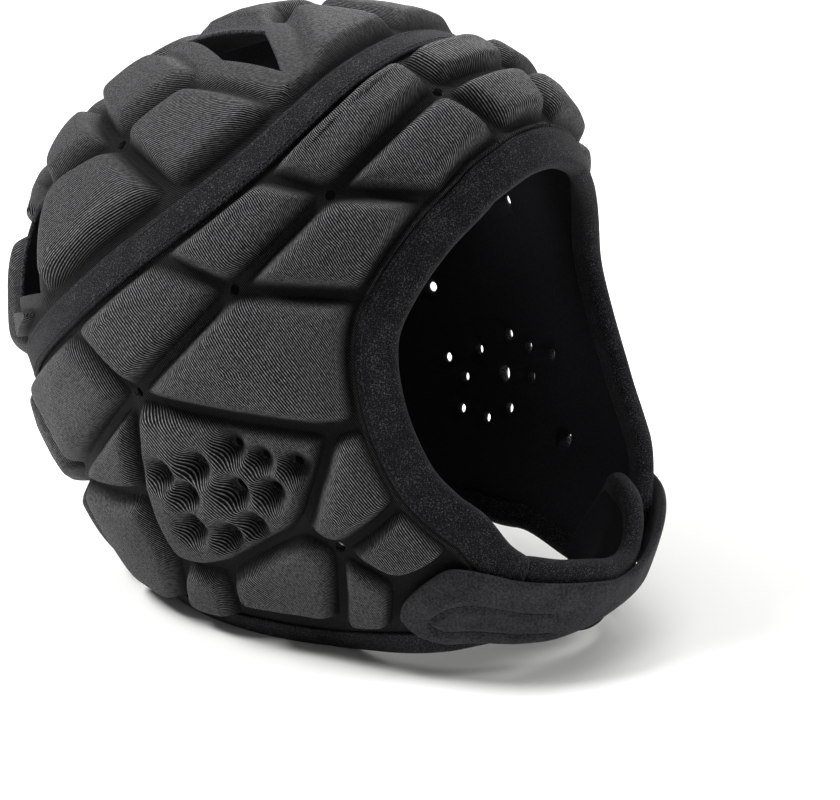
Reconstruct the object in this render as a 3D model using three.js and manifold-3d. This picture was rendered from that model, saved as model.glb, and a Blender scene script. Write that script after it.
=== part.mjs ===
// A soft shell football helmet: two padded foam panels joined by a taped seam, with bound edges and a chin strap.
// Millimetres, +Z up, the face towards -Y and the wearer's left towards +X. It stands on its neck edge.
import * as THREE from "three";
import { mergeVertices } from "three/addons/utils/BufferGeometryUtils.js";
import Module from "manifold-3d";

const { clamp, degToRad, lerp, radToDeg, smoothstep } = THREE.MathUtils;
const wasm = await Module();
wasm.setup();

// The head form is an egg of eight ellipsoid octants, measured on the floor of the grooves between the pads.
const HALF_WIDTH = 87;
const FRONT_LENGTH = 124;
const BACK_LENGTH = 107;
const UP_HEIGHT = 87;
const DOWN_HEIGHT = 158;
const LEAN_BACK = degToRad(25);
const CENTRE = new THREE.Vector3(0, 19.8, 112.6);

// Below the temples the sides run straight forward to the jaw instead of closing in on the chin.
const JAW_FLARE = 0.13;
const FLARE_UP = { none: 2, full: 40 };
const FLARE_AROUND = { full: 50, none: 86 };

// Foam and fabric.
const WALL = 4;
const PAD_RISE = 7;
const GROOVE_WIDTH = 5;
const VENT_HEM = 5;
const PAD_PROFILE = [
  { inset: 0, rise: 0 },
  { inset: 1.6, rise: 0.7 },
  { inset: 4.6, rise: 1 },
];
const PAD_CROWN = 0.6;
const CORNER_ROUNDING = 2.2;
const GROOVE_STEP = 22;
const LINE_STEP = 15;

// Tape, bindings and straps.
const GAP = 0.5;
const NECK_GAP = 0.9;
const INNER_GAP = 1.7;
const SEAM_GAP = 0.25;
const TAPE_WIDTH = 10;
const TAPE_THICKNESS = 1.4;
const TAPE_STATIONS = 28;
const BINDING_THICKNESS = 1.2;
const FACE_BINDING_WIDTH = 10;
const NECK_BINDING_WIDTH = 7;
const INNER_FLANGE = 0.6;
const MARGIN = 1.2;
const STRAP_THICKNESS = 3;

// Holes.
const EYELET_RADIUS = 2.2;
const EAR_DIMPLE_RADIUS = 6.5;
const EAR_HOLE_RADIUS = 1.6;

// The neck edge is level round the back and rises towards the jaw. Under the left ear it arches off the ground.
const NECK_LEVEL = 0.9;
const JAW_RISE = 13;
const JAW_RISE_AROUND = { none: 90, full: 34 };
const LEFT_ARCH = 11.7;
const ARCH_AROUND = { jaw: 58, front: 80, back: 92, nape: 126 };
const GROUND_SIZE = 400;
const GROUND_DEPTH = 40;

// Seam between the panels: degrees round from the front, degrees up. It runs past the midline at both ends, so
// that it crosses it square.
const SEAM = [
  { around: -18, up: 40.7 },
  { around: 0, up: 42.4 },
  { around: 18, up: 40.7 },
  { around: 33, up: 36.8 },
  { around: 45, up: 31.4 },
  { around: 56, up: 25.8 },
  { around: 69, up: 20.4 },
  { around: 83, up: 15.6 },
  { around: 104, up: 9.1 },
  { around: 130, up: 3 },
  { around: 158, up: -2.6 },
  { around: 180, up: -4.4 },
  { around: 202, up: -2.6 },
];

// Edge of the face opening, from the brow down to the end of the jaw. Named rows are where grooves meet it.
const FACE_EDGE = [
  { name: "brow", around: 0, up: 3.5 },
  { name: "brow_side", around: 6, up: 3.1 },
  { around: 14, up: 1.2 },
  { name: "temple", around: 21, up: -0.9 },
  { around: 31, up: -3.8 },
  { name: "eye", around: 40.5, up: -8 },
  { around: 46.5, up: -12.5 },
  { name: "cheek", around: 49, up: -19.5 },
  { name: "mouth", around: 48.2, up: -26.5 },
  { around: 45, up: -31 },
  { name: "jaw", around: 40.5, up: -34.7 },
  { around: 36.5, up: -39.4 },
  { name: "jaw_end", around: 32, up: -42.5 },
];

// Where the grooves meet the seam and the neck edge: degrees round from the front.
const SEAM_STOPS = {
  seam_front: 0, s1: 18, s2: 60.5, s3: 83, s4: 108, s5: 133, s6: 158, seam_back: 180,
  c1: 45, c2: 71, c3: 116, c4: 140, c5: 165,
};
const NECK_STOPS = { neck_end: 32, n1: 67, n2: 82, n3: 107, n4: 126, n5: 148, n6: 168, neck_back: 180 };

// Groove crossings inside the panels, and the corners of the vents: [degrees round, degrees up].
const CROSSINGS = {
  g1: [15.7, 26], g2: [47, 11.8], g3: [68.3, -0.2], g4: [93.8, -7.8], g5: [129, -15], g6: [157, -18],
  ear_front: [60.7, -19.4], ear_low: [67.5, -33.6], ear_under: [95.4, -33.9], ear_heel: [107.5, -30.7],
  ear_back: [104.5, -20.2], ear_side: [73, -30.4], jaw_pad: [59, -38.6],
  top: [0, 70], top_in: [35.5, 61.1], top_out: [43.2, 43], top_side: [54.8, 55], top_back: [83, 82],
  crown: [88, 44], crown_in: [143, 65], rear_in: [153, 52], nape_in: [162, 30],
  rear_top: [117, 39], rear_front: [115, 15], rear_low: [139, 17], rear_back: [141, 35],
};

// Pads by their corners. Those on the wearer's right are mirrored, and those on the midline name both sides.
const FRONT_SIDE_PADS = [
  "s1 s2 g2 g1", "s2 s3 g3 g2", "s3 s4 g4 g3", "s4 s5 g5 g4", "s5 s6 g6 g5",
  "g1 g2 temple brow_side", "g2 g3 eye temple", "g3 g4 ear_front cheek eye",
  "g4 ear_front ear_side ear_under ear_heel ear_back",
  "ear_front cheek mouth ear_low ear_side", "ear_low mouth jaw jaw_pad", "ear_low jaw_pad n1 n2",
  "ear_side ear_low n2 n3 ear_under", "ear_under n3 n4 ear_heel", "g4 ear_back g5",
  "g5 ear_back ear_heel n4 n5", "g5 n5 n6 g6",
];
const JAW_ENDS = ["jaw_pad jaw jaw_end neck_end n1"];
const FRONT_MIDDLE_PADS = [
  "seam_front s1.R g1.R g1.L s1.L", "g1.R brow_side.R brow brow_side.L g1.L",
  "s6.R seam_back s6.L g6.L g6.R", "g6.R n6.R neck_back n6.L g6.L",
];
const CROWN_SIDE_PADS = [
  "seam_front c1 top_out top_in top", "top_out c1 c2 crown top_side", "crown c2 c3 rear_front rear_top",
  "top_side crown crown_in top_back", "crown rear_top rear_in crown_in", "rear_top rear_back nape_in rear_in",
  "rear_front c3 c4 rear_low", "rear_back rear_low c4 c5 nape_in",
];
const CROWN_MIDDLE_PADS = [
  "top top_in.R top_back.R top_back.L top_in.L", "top_back.R crown_in.R crown_in.L top_back.L",
  "crown_in.R rear_in.R nape_in.R nape_in.L rear_in.L crown_in.L", "nape_in.R c5.R seam_back c5.L nape_in.L",
];
const MIDLINE = ["seam_front", "seam_back", "brow", "neck_back", "top"];

// Small round eyelets sit at some crossings, and a cluster of dimpled holes lies over the ear.
const FRONT_EYELETS = ["g1", "g2", "g3", "g4", "ear_low"];
const CROWN_EYELETS = ["crown"];
const EAR_HOLES = [
  { around: 94.8, up: -18.2 }, { around: 86.2, up: -18.6 }, { around: 78.1, up: -17.8 },
  { around: 73.9, up: -20.2 }, { around: 68.4, up: -21.9 }, { around: 91.3, up: -21.8 },
  { around: 81, up: -23.1 }, { around: 74.5, up: -24.4 }, { around: 94.2, up: -26.2 },
  { around: 81.2, up: -28.3 }, { around: 87.6, up: -28.8 },
];

// The flap runs on from the right jaw, round the chin and inside the left jaw.
const FLAP_ROWS = [
  { around: 31.2, top: -42.6, bottom: -52.8, lift: -4 },
  { around: 22, top: -45, bottom: -55.6, lift: -3.6 },
  { around: 12, top: -46.6, bottom: -57, lift: -2.8 },
  { around: 2, top: -47.8, bottom: -57.8, lift: -2 },
  { around: -8, top: -47.6, bottom: -57.8, lift: -2.6 },
  { around: -17, top: -45, bottom: -57, lift: -5 },
  { around: -25, top: -42, bottom: -56, lift: -8.5 },
  { around: -33, top: -40.4, bottom: -55.4, lift: -12 },
  { around: -40, top: -39.8, bottom: -55.2, lift: -12.5 },
  { around: -46, top: -40.4, bottom: -54.9, lift: -12.5 },
  { around: -51, top: -42, bottom: -54.4, lift: -12.5 },
  { around: -55, top: -44.8, bottom: -53.4, lift: -12.5 },
  { around: -57.4, top: -48, bottom: -51.4, lift: -12.5 },
];

// The strap is sewn outside the left jaw and closes with its rounded tab outside the right jaw.
const STRAP_ROWS = [
  { around: 60.4, top: -43.2, bottom: -43.8, lift: 2.3 },
  { around: 59.2, top: -41.6, bottom: -46, lift: 2.3 },
  { around: 56.5, top: -39.9, bottom: -47.6, lift: 2.3 },
  { around: 52.8, top: -38.5, bottom: -48.7, lift: 2.3 },
  { around: 49, top: -37.9, bottom: -49.4, lift: 2.3 },
  { around: 45, top: -38.9, bottom: -50.3, lift: 2.3 },
  { around: 40, top: -40.8, bottom: -51.6, lift: 2.4 },
  { around: 34, top: -43, bottom: -52.9, lift: 2.6 },
  { around: 24, top: -45.4, bottom: -54.2, lift: 3 },
  { around: 12, top: -47.4, bottom: -54.2, lift: 3.4 },
  { around: 2, top: -48.4, bottom: -53.4, lift: 3.6 },
  { around: -8, top: -47.6, bottom: -52.6, lift: 3.7 },
  { around: -16, top: -45.4, bottom: -52, lift: 3.7 },
  { around: -24, top: -42.6, bottom: -51.6, lift: 3.5 },
  { around: -33, top: -40.2, bottom: -50.8, lift: 3.1 },
  { around: -42, top: -38.4, bottom: -49.6, lift: 2.7 },
  { around: -50, top: -36.9, bottom: -47.6, lift: 2.3 },
  { around: -55, top: -36.9, bottom: -46.6, lift: 2.3 },
];

// Looks.
const KNIT_BLACK = { color: 0x1d1e20, roughness: 0.85, metalness: 0 };
const BINDING_BLACK = { color: 0x18181c, roughness: 0.95, metalness: 0 };

const X_AXIS = new THREE.Vector3(1, 0, 0);

/** Direction from the head's centre, in degrees round from the front to the wearer's right and degrees up. */
function aim(around, up) {
  const a = degToRad(around);
  const e = degToRad(up);
  return new THREE.Vector3(-Math.cos(e) * Math.sin(a), -Math.cos(e) * Math.cos(a), Math.sin(e));
}

/** The egg's half axes in the octant that a vector points into. */
function halfAxes(v) {
  return new THREE.Vector3(
    HALF_WIDTH,
    v.y < 0 ? FRONT_LENGTH : BACK_LENGTH,
    v.z < 0 ? DOWN_HEIGHT : UP_HEIGHT,
  );
}

function jawFlare(direction) {
  const around = Math.abs(radToDeg(Math.atan2(direction.x, -direction.y)));
  const down = -radToDeg(Math.asin(clamp(direction.z, -1, 1)));
  const low = smoothstep(down, FLARE_UP.none, FLARE_UP.full);
  const behind = smoothstep(around, FLARE_AROUND.full, FLARE_AROUND.none);
  return 1 + JAW_FLARE * low * (1 - behind);
}

/** The point of the head form in a direction, lifted off the groove floor along the egg's normal. */
function onForm(direction, lift = 0) {
  const axes = halfAxes(direction);
  const normal = direction.clone().divide(axes).normalize();
  return direction
    .clone()
    .multiply(axes)
    .multiplyScalar(jawFlare(direction))
    .addScaledVector(normal, lift)
    .applyAxisAngle(X_AXIS, -LEAN_BACK)
    .add(CENTRE);
}

/** The direction in which a point lies. */
function directionOf(point) {
  const local = point.clone().sub(CENTRE).applyAxisAngle(X_AXIS, LEAN_BACK);
  return local.divide(halfAxes(local)).normalize();
}

const mirrored = (v) => new THREE.Vector3(-v.x, v.y, v.z);

/** Smooth curve through the rows of a table, read at a fraction of its length in rows. */
function tableCurve(rows, columns) {
  const count = Math.ceil(columns.length / 3);
  const curves = Array.from({ length: count }, (_, k) => {
    const picked = columns.slice(3 * k, 3 * k + 3);
    const points = rows.map((row) => new THREE.Vector3(...[0, 1, 2].map((i) => row[picked[i]] ?? 0)));
    return new THREE.CatmullRomCurve3(points, false, "centripetal");
  });
  return (t) => curves.flatMap((curve) => curve.getPoint(t).toArray());
}

const seamCurve = tableCurve(SEAM, ["around", "up"]);
const faceCurve = tableCurve(FACE_EDGE, ["around", "up"]);

/** Halves an interval until the rising function f crosses its target. */
function solve(f, target, low, high) {
  for (let step = 0; step < 40; step++) {
    const middle = (low + high) / 2;
    if (f(middle) < target) low = middle;
    else high = middle;
  }
  return (low + high) / 2;
}

function seamDirection(around, shift) {
  const t = solve((u) => seamCurve(u)[0], around, 0, 1);
  return aim(around, seamCurve(t)[1] + shift);
}

function neckDirection(around, shift, left) {
  const forward = 1 - smoothstep(around, JAW_RISE_AROUND.full, JAW_RISE_AROUND.none);
  const { jaw, front, back, nape } = ARCH_AROUND;
  const arch = left ? smoothstep(around, jaw, front) * (1 - smoothstep(around, back, nape)) : 0;
  const level = NECK_LEVEL + JAW_RISE * forward + LEFT_ARCH * arch;
  return aim(around, solve((up) => onForm(aim(around, up)).z, level, -80, -10));
}

function faceDirection(row) {
  const [around, up] = faceCurve(row / (FACE_EDGE.length - 1));
  return aim(around, up);
}

const LINES = { seam: seamDirection, neck: neckDirection, face: faceDirection };
const LINE_MARGIN = {
  seam: TAPE_WIDTH / 2 + MARGIN,
  neck: NECK_BINDING_WIDTH + MARGIN,
  face: FACE_BINDING_WIDTH + MARGIN,
};

const nodes = {};
for (const [name, at] of Object.entries(SEAM_STOPS)) nodes[name] = { line: "seam", at };
for (const [name, at] of Object.entries(NECK_STOPS)) nodes[name] = { line: "neck", at };
FACE_EDGE.forEach((row, at) => {
  if (row.name) nodes[row.name] = { line: "face", at };
});
for (const [name, [around, up]] of Object.entries(CROSSINGS)) nodes[name] = { direction: aim(around, up) };

/** Directions along the groove or edge from one corner to just before the next. */
function edgeDirections(from, to, shift) {
  const [fromName, fromSide] = from.split(".");
  const [toName, toSide] = to.split(".");
  const a = nodes[fromName];
  const b = nodes[toName];
  const left = fromSide === "L" || toSide === "L";
  const onLine = a.line && a.line === b.line;
  const place = (node, side) => {
    const direction = node.line ? LINES[node.line](node.at, shift, side === "L") : node.direction;
    return side === "L" ? mirrored(direction) : direction;
  };
  const start = place(a, fromSide);
  const end = place(b, toSide);
  const step = onLine ? LINE_STEP : GROOVE_STEP;
  const count = Math.max(1, Math.round(onForm(start).distanceTo(onForm(end)) / step));
  return Array.from({ length: count }, (_, i) => {
    const t = i / count;
    if (!onLine) return start.clone().lerp(end, t).normalize();
    const direction = LINES[a.line](lerp(a.at, b.at, t), shift, left);
    return left ? mirrored(direction) : direction;
  });
}

const edgeName = (from, to) => [from, to].sort().join("|");
const withSide = (corners, side) => corners.map((name) => (MIDLINE.includes(name) ? name : `${name}.${side}`));

/** The pads of a panel as corner lists, each counter-clockwise from outside. */
function listPads(sidePads, middlePads, rise, shift) {
  const sides = sidePads.flatMap((pad) => ["R", "L"].map((side) => withSide(pad.split(" "), side)));
  const middles = middlePads.map((pad) => pad.split(" "));
  return [...sides, ...middles].map((corners) => {
    const outline = corners.flatMap((from, i) => edgeDirections(from, corners[(i + 1) % corners.length], shift));
    const centre = outline.reduce((sum, n) => sum.add(n), new THREE.Vector3()).normalize();
    const turn = outline.reduce((sum, n, i) => {
      const next = outline[(i + 1) % outline.length];
      return sum + n.clone().cross(next).dot(centre);
    }, 0);
    return { corners: turn > 0 ? corners : corners.reverse(), centre, rise };
  });
}

function segmentDistance(point, a, b) {
  const along = b.clone().sub(a);
  const t = clamp(point.clone().sub(a).dot(along) / along.lengthSq(), 0, 1);
  return point.distanceTo(a.clone().addScaledVector(along, t));
}

/** A closed solid from loose triangles whose corners coincide. */
function geometryOf(triangles) {
  const positions = triangles.flatMap((triangle) => triangle.flatMap((v) => v.toArray()));
  const loose = new THREE.BufferGeometry();
  loose.setAttribute("position", new THREE.Float32BufferAttribute(positions, 3));
  return mergeVertices(loose, 1e-3);
}

const quad = (a, b, c, d) => [[a, b, c], [a, c, d]];

/** Joins two rings of equal length; the faces look away from the side on which the rings run clockwise. */
function ringStrip(outer, inner) {
  return outer.flatMap((a, i) => {
    const j = (i + 1) % outer.length;
    return quad(a, outer[j], inner[j], inner[i]);
  });
}

const fan = (ring, centre) => ring.map((a, i) => [a, ring[(i + 1) % ring.length], centre]);
const flipped = (triangles) => triangles.map(([a, b, c]) => [a, c, b]);

/**
 * One panel: pads raised inside the groove network, a plain inner face, and a wall round every free edge.
 * A ring of a pad lies where the rounded distance to its grooves equals the ring's inset.
 */
function padPanel(pads, shift) {
  const uses = new Map();
  for (const { corners } of pads)
    corners.forEach((from, i) => {
      const name = edgeName(from, corners[(i + 1) % corners.length]);
      uses.set(name, (uses.get(name) ?? 0) + 1);
    });
  const triangles = [];
  for (const { corners, centre, rise } of pads) {
    const edges = corners.map((from, i) => {
      const to = corners[(i + 1) % corners.length];
      const [a, b] = [from, to].map((key) => nodes[key.split(".")[0]]);
      const free = uses.get(edgeName(from, to)) === 1;
      const line = a.line && a.line === b.line ? a.line : null;
      const margin = line ? LINE_MARGIN[line] : free ? VENT_HEM : GROOVE_WIDTH / 2;
      return { from, to, free, margin, directions: edgeDirections(from, to, shift) };
    });
    edges.forEach((edge, i) => {
      const path = [...edge.directions, edges[(i + 1) % edges.length].directions[0]];
      edge.points = path.map((n) => onForm(n));
      if (!edge.free) return;
      const inner = path.map((n) => onForm(n, -WALL));
      for (let k = 0; k + 1 < path.length; k++)
        triangles.push(...quad(edge.points[k + 1], edge.points[k], inner[k], inner[k + 1]));
    });
    const outline = edges.flatMap((edge) => edge.directions);
    const toward = (n, w) => centre.clone().lerp(n, w).normalize();
    const inset = (n) => {
      const point = onForm(n);
      const sum = edges.reduce((total, { points, margin }) => {
        const gaps = points.slice(1).map((p, k) => segmentDistance(point, points[k], p));
        return total + Math.exp((margin - Math.min(...gaps)) / CORNER_ROUNDING);
      }, 0);
      return -CORNER_ROUNDING * Math.log(sum);
    };
    const deepest = PAD_PROFILE.at(-1).inset;
    const fit = Math.min(1, (0.75 * inset(centre)) / deepest);
    const rings = PAD_PROFILE.map((row) =>
      outline.map((n) => {
        const w = 1 - solve((v) => inset(toward(n, 1 - v)), row.inset * fit, 0, 1);
        return { direction: toward(n, w), lift: row.rise * rise };
      }),
    );
    const outerRings = [
      outline.map((n) => onForm(n)),
      ...rings.map((ring) => ring.map(({ direction, lift }) => onForm(direction, lift))),
    ];
    for (let k = 0; k + 1 < outerRings.length; k++) triangles.push(...ringStrip(outerRings[k], outerRings[k + 1]));
    triangles.push(...fan(outerRings.at(-1), onForm(centre, rise ? rise + PAD_CROWN : 0)));
    const innerEdge = outline.map((n) => onForm(n, -WALL));
    const innerRing = rings[0].map(({ direction }) => onForm(direction, -WALL));
    const bound = edges.some((edge) => edge.free);
    if (bound) triangles.push(...flipped(ringStrip(innerEdge, innerRing)));
    triangles.push(...flipped(fan(bound ? innerRing : innerEdge, onForm(centre, -WALL))));
  }
  return geometryOf(triangles);
}

const middleOf = (ring) => ring.reduce((sum, p) => sum.add(p), new THREE.Vector3()).divideScalar(ring.length);

/** The vector area of a ring, which points to the side that sees it run counter-clockwise. */
function ringArea(ring) {
  const middle = middleOf(ring);
  return ring.reduce((sum, p, i) => {
    const next = ring[(i + 1) % ring.length];
    return sum.add(p.clone().sub(middle).cross(next.clone().sub(middle)));
  }, new THREE.Vector3());
}

/** Triangles that close the ring at an end of a sweep, whose first half runs back along its second half. */
function endCap(ring) {
  const half = ring.length / 2 - 1;
  return Array.from({ length: half }, (_, i) => {
    const facing = ring.length - 1 - i;
    return quad(ring[i], ring[i + 1], ring[facing - 1], ring[facing]);
  }).flat();
}

/** Sweeps a closed section, given as a list of rings, with flat ends or as a loop. */
function sweep(rings, loop) {
  const ahead = middleOf(rings[1]).sub(middleOf(rings[0]));
  const turned = ringArea(rings[0]).dot(ahead) < 0 ? rings.map((ring) => ring.slice().reverse()) : rings;
  const triangles = [];
  const last = loop ? turned.length : turned.length - 1;
  for (let k = 0; k < last; k++) triangles.push(...ringStrip(turned[k], turned[(k + 1) % turned.length]));
  if (!loop) triangles.push(...flipped(endCap(turned[0])), ...endCap(turned.at(-1)));
  return geometryOf(triangles);
}

/** Frames along an edge on the form: point, outward normal and the way into the sheet. */
function edgeFrames(directions, loop) {
  const points = directions.map((n) => onForm(n));
  return directions.map((direction, i) => {
    const before = loop ? points.at(i - 1) : points[Math.max(0, i - 1)];
    const after = loop ? points[(i + 1) % points.length] : points[Math.min(points.length - 1, i + 1)];
    const normal = onForm(direction, 1).sub(points[i]).normalize();
    const inward = after.clone().sub(before).cross(normal).normalize();
    return { point: points[i], normal, inward };
  });
}

/** The point of a frame that lies across from the edge, on the form, at a height over the sheet. */
function across(frame, distance, height) {
  const moved = frame.point.clone().addScaledVector(frame.inward, distance);
  if (distance <= 0) return moved.addScaledVector(frame.normal, height);
  return onForm(directionOf(moved), height);
}

/** A folded strip round the edge of a sheet: outer flange, rounded fold and inner flange. */
function binding(frames, width, gap) {
  const side = (clear, below) => [
    [width, clear], [0, clear], [-clear, -WALL / 3], [-clear, (-2 * WALL) / 3],
    [0, -WALL - below], [INNER_FLANGE * width, -WALL - below],
  ];
  const outside = side(gap + BINDING_THICKNESS, INNER_GAP + BINDING_THICKNESS);
  const section = [...outside, ...side(gap, INNER_GAP).reverse()];
  return sweep(frames.map((frame) => section.map(([d, h]) => across(frame, d, h))), false);
}

/** A tape laid over the seam. */
function tape(frames) {
  const half = TAPE_WIDTH / 2;
  const edge = GAP + 0.6 * TAPE_THICKNESS;
  const top = GAP + TAPE_THICKNESS;
  const section = [[-half, GAP], [-half, edge], [-half / 2, top], [half / 2, top], [half, edge], [half, GAP]];
  const place = (frame, d, h) =>
    onForm(directionOf(frame.point.clone().addScaledVector(frame.inward, d)), h);
  return sweep(frames.map((frame) => section.map(([d, h]) => place(frame, d, h))), true);
}

/** A flat strap that follows the form between its top and bottom edges. */
function strap(rows, stations, thickness) {
  const curve = tableCurve(rows, ["around", "top", "bottom", "lift"]);
  const rings = Array.from({ length: stations + 1 }, (_, i) => {
    const [around, top, bottom, lift] = curve(i / stations);
    const across = [0, 1 / 3, 2 / 3, 1].map((t) => aim(around, lerp(top, bottom, t)));
    const outer = across.map((n) => onForm(n, lift + thickness));
    const inner = across.map((n) => onForm(n, lift));
    return [...outer, ...inner.reverse()];
  });
  return sweep(rings, false);
}

const solidOf = (geometry) => {
  const mesh = new wasm.Mesh({
    numProp: 3,
    vertProperties: geometry.getAttribute("position").array,
    triVerts: new Uint32Array(geometry.index.array),
  });
  return new wasm.Manifold(mesh);
};

function fromSolid(solid) {
  const { vertProperties, triVerts } = solid.getMesh();
  const geometry = new THREE.BufferGeometry();
  geometry.setAttribute("position", new THREE.Float32BufferAttribute(vertProperties, 3));
  geometry.setIndex(new THREE.Uint32BufferAttribute(triVerts, 1));
  return geometry;
}

/** Cuts tools away from a geometry. */
function cut(geometry, tools) {
  return fromSolid(tools.reduce((solid, tool) => solid.subtract(solidOf(tool)), solidOf(geometry)));
}

/** A drill or countersink through the wall, with its axis along the form's normal. */
function drill(direction, top, topRadius, bottomRadius, sides) {
  const bottom = -WALL - 2;
  const shaft = new THREE.CylinderGeometry(topRadius, bottomRadius, top - bottom, sides);
  shaft.deleteAttribute("normal");
  shaft.deleteAttribute("uv");
  const low = onForm(direction, bottom);
  const high = onForm(direction, top);
  const turn = new THREE.Quaternion().setFromUnitVectors(
    new THREE.Vector3(0, 1, 0),
    high.clone().sub(low).normalize(),
  );
  shaft.applyQuaternion(turn);
  const middle = low.add(high).multiplyScalar(0.5);
  shaft.translate(middle.x, middle.y, middle.z);
  return mergeVertices(shaft, 1e-4);
}

const bothSides = (direction) => [direction, mirrored(direction)];

function eyelets(names) {
  const directions = names.flatMap((name) => bothSides(nodes[name].direction));
  return directions.map((n) => drill(n, PAD_RISE, EYELET_RADIUS, EYELET_RADIUS, 6));
}

function earHoles() {
  const directions = EAR_HOLES.flatMap(({ around, up }) => bothSides(aim(around, up)));
  return directions.map((n) => drill(n, PAD_RISE + 2, EAR_DIMPLE_RADIUS, EAR_HOLE_RADIUS, 6));
}

/** The points of a panel's edge along a line, in the panel's own steps, from one end to the other. */
function edgePath(stops) {
  const path = stops.slice(1).flatMap((to, i) => edgeDirections(stops[i], to, 0));
  const [name, side] = stops.at(-1).split(".");
  const { line, at } = nodes[name];
  const end = LINES[line](at, 0, side === "L");
  return [...path, side === "L" ? mirrored(end) : end];
}

function frontPanel() {
  const pads = [
    ...listPads(FRONT_SIDE_PADS, FRONT_MIDDLE_PADS, PAD_RISE, -SEAM_GAP),
    ...listPads(JAW_ENDS, [], 0, -SEAM_GAP),
  ];
  return cut(padPanel(pads, -SEAM_GAP), [...eyelets(FRONT_EYELETS), ...earHoles()]);
}

function crownPanel() {
  const pads = listPads(CROWN_SIDE_PADS, CROWN_MIDDLE_PADS, PAD_RISE, SEAM_GAP);
  return cut(padPanel(pads, SEAM_GAP), eyelets(CROWN_EYELETS));
}

function seamTape() {
  const half = Array.from({ length: TAPE_STATIONS }, (_, i) => seamDirection((180 * i) / TAPE_STATIONS, 0));
  const left = [...half.slice(1), seamDirection(180, 0)].reverse().map(mirrored);
  return tape(edgeFrames([...half, ...left], true));
}

/** The binding of the face opening, from the left jaw over the brow to the right jaw. */
function faceBinding() {
  const right = FACE_EDGE.map((row) => row.name).filter((name) => name);
  const left = right.slice(1).reverse();
  const stops = [...withSide(left, "L"), ...withSide(right, "R")];
  return binding(edgeFrames(edgePath(stops), false), FACE_BINDING_WIDTH, GAP);
}

/** The binding of the neck edge, pressed flat where it stands on the ground. */
function neckBinding() {
  const right = Object.keys(NECK_STOPS);
  const left = right.slice(0, -1).reverse();
  const stops = [...withSide(right, "R"), ...withSide(left, "L")];
  const ring = binding(edgeFrames(edgePath(stops), false), NECK_BINDING_WIDTH, NECK_GAP);
  const ground = new THREE.BoxGeometry(GROUND_SIZE, GROUND_SIZE, GROUND_DEPTH).translate(0, 0, -GROUND_DEPTH / 2);
  ground.deleteAttribute("normal");
  ground.deleteAttribute("uv");
  return cut(ring, [mergeVertices(ground, 1e-4)]);
}

function piece(name, geometry, look) {
  geometry.computeVertexNormals();
  const mesh = new THREE.Mesh(geometry, new THREE.MeshStandardMaterial(look));
  mesh.name = name;
  return mesh;
}

const helmet = new THREE.Group();
helmet.add(
  piece("front_panel", frontPanel(), KNIT_BLACK),
  piece("crown_panel", crownPanel(), KNIT_BLACK),
  piece("seam_tape", seamTape(), BINDING_BLACK),
  piece("face_binding", faceBinding(), BINDING_BLACK),
  piece("neck_binding", neckBinding(), BINDING_BLACK),
  piece("chin_flap", strap(FLAP_ROWS, 18, WALL), BINDING_BLACK),
  piece("chin_strap", strap(STRAP_ROWS, 24, STRAP_THICKNESS), BINDING_BLACK),
);

export default helmet;
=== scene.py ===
"""A soft shell football helmet: padded panels, a taped seam, bound edges, a chin flap and a chin strap."""

import math

import bmesh
import bpy
import numpy as np
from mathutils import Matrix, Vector
from mathutils.geometry import delaunay_2d_cdt


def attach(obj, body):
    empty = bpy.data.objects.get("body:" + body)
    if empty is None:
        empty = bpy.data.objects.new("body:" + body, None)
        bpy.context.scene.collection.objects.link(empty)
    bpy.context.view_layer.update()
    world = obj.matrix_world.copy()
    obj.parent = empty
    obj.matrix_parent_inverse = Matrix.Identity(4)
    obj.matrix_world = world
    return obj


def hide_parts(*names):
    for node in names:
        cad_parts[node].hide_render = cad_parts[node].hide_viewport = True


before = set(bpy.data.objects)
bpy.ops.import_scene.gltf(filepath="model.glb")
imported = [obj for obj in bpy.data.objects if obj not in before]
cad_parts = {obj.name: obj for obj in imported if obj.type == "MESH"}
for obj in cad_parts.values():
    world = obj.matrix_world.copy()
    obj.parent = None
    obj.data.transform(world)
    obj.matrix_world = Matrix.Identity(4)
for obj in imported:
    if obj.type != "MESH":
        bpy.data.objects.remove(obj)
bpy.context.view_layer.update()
scene = bpy.context.scene


# Studio. A long lens looks down on the wearer's right front. The helmet stands on a pale paper floor, under
# a large soft box at the upper left, a softer one at the right, a wide one overhead and one behind it.
IMAGE_WIDTH_PX = 840
FOCAL_PX = 2700
SENSOR_MM = 36
VIEW_AZIMUTH = math.radians(-53.9)
VIEW_ELEVATION = math.radians(17.5)
EYE_M = Vector((-0.7384, -0.5771, 0.3642))
AIM_M = Vector((0, 0, 0.1))
PAPER_WHITE = "#f4f4f2"
FLOOR_M = 14
ROOM_LIGHT = 0.2

# Name, metres right, up and back from the helmet's middle, size in metres, and watts of each soft box.
SOFT_BOXES = [
    ("key_box", -1.35, 1.6, 0.1, 0.7, 60), ("fill_box", 1.5, 0.8, 0.2, 0.8, 13),
    ("top_box", -0.1, 1.8, -0.3, 1.4, 14), ("backdrop_box", 0.5, 1.5, -1.6, 1.6, 27),
]

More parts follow.
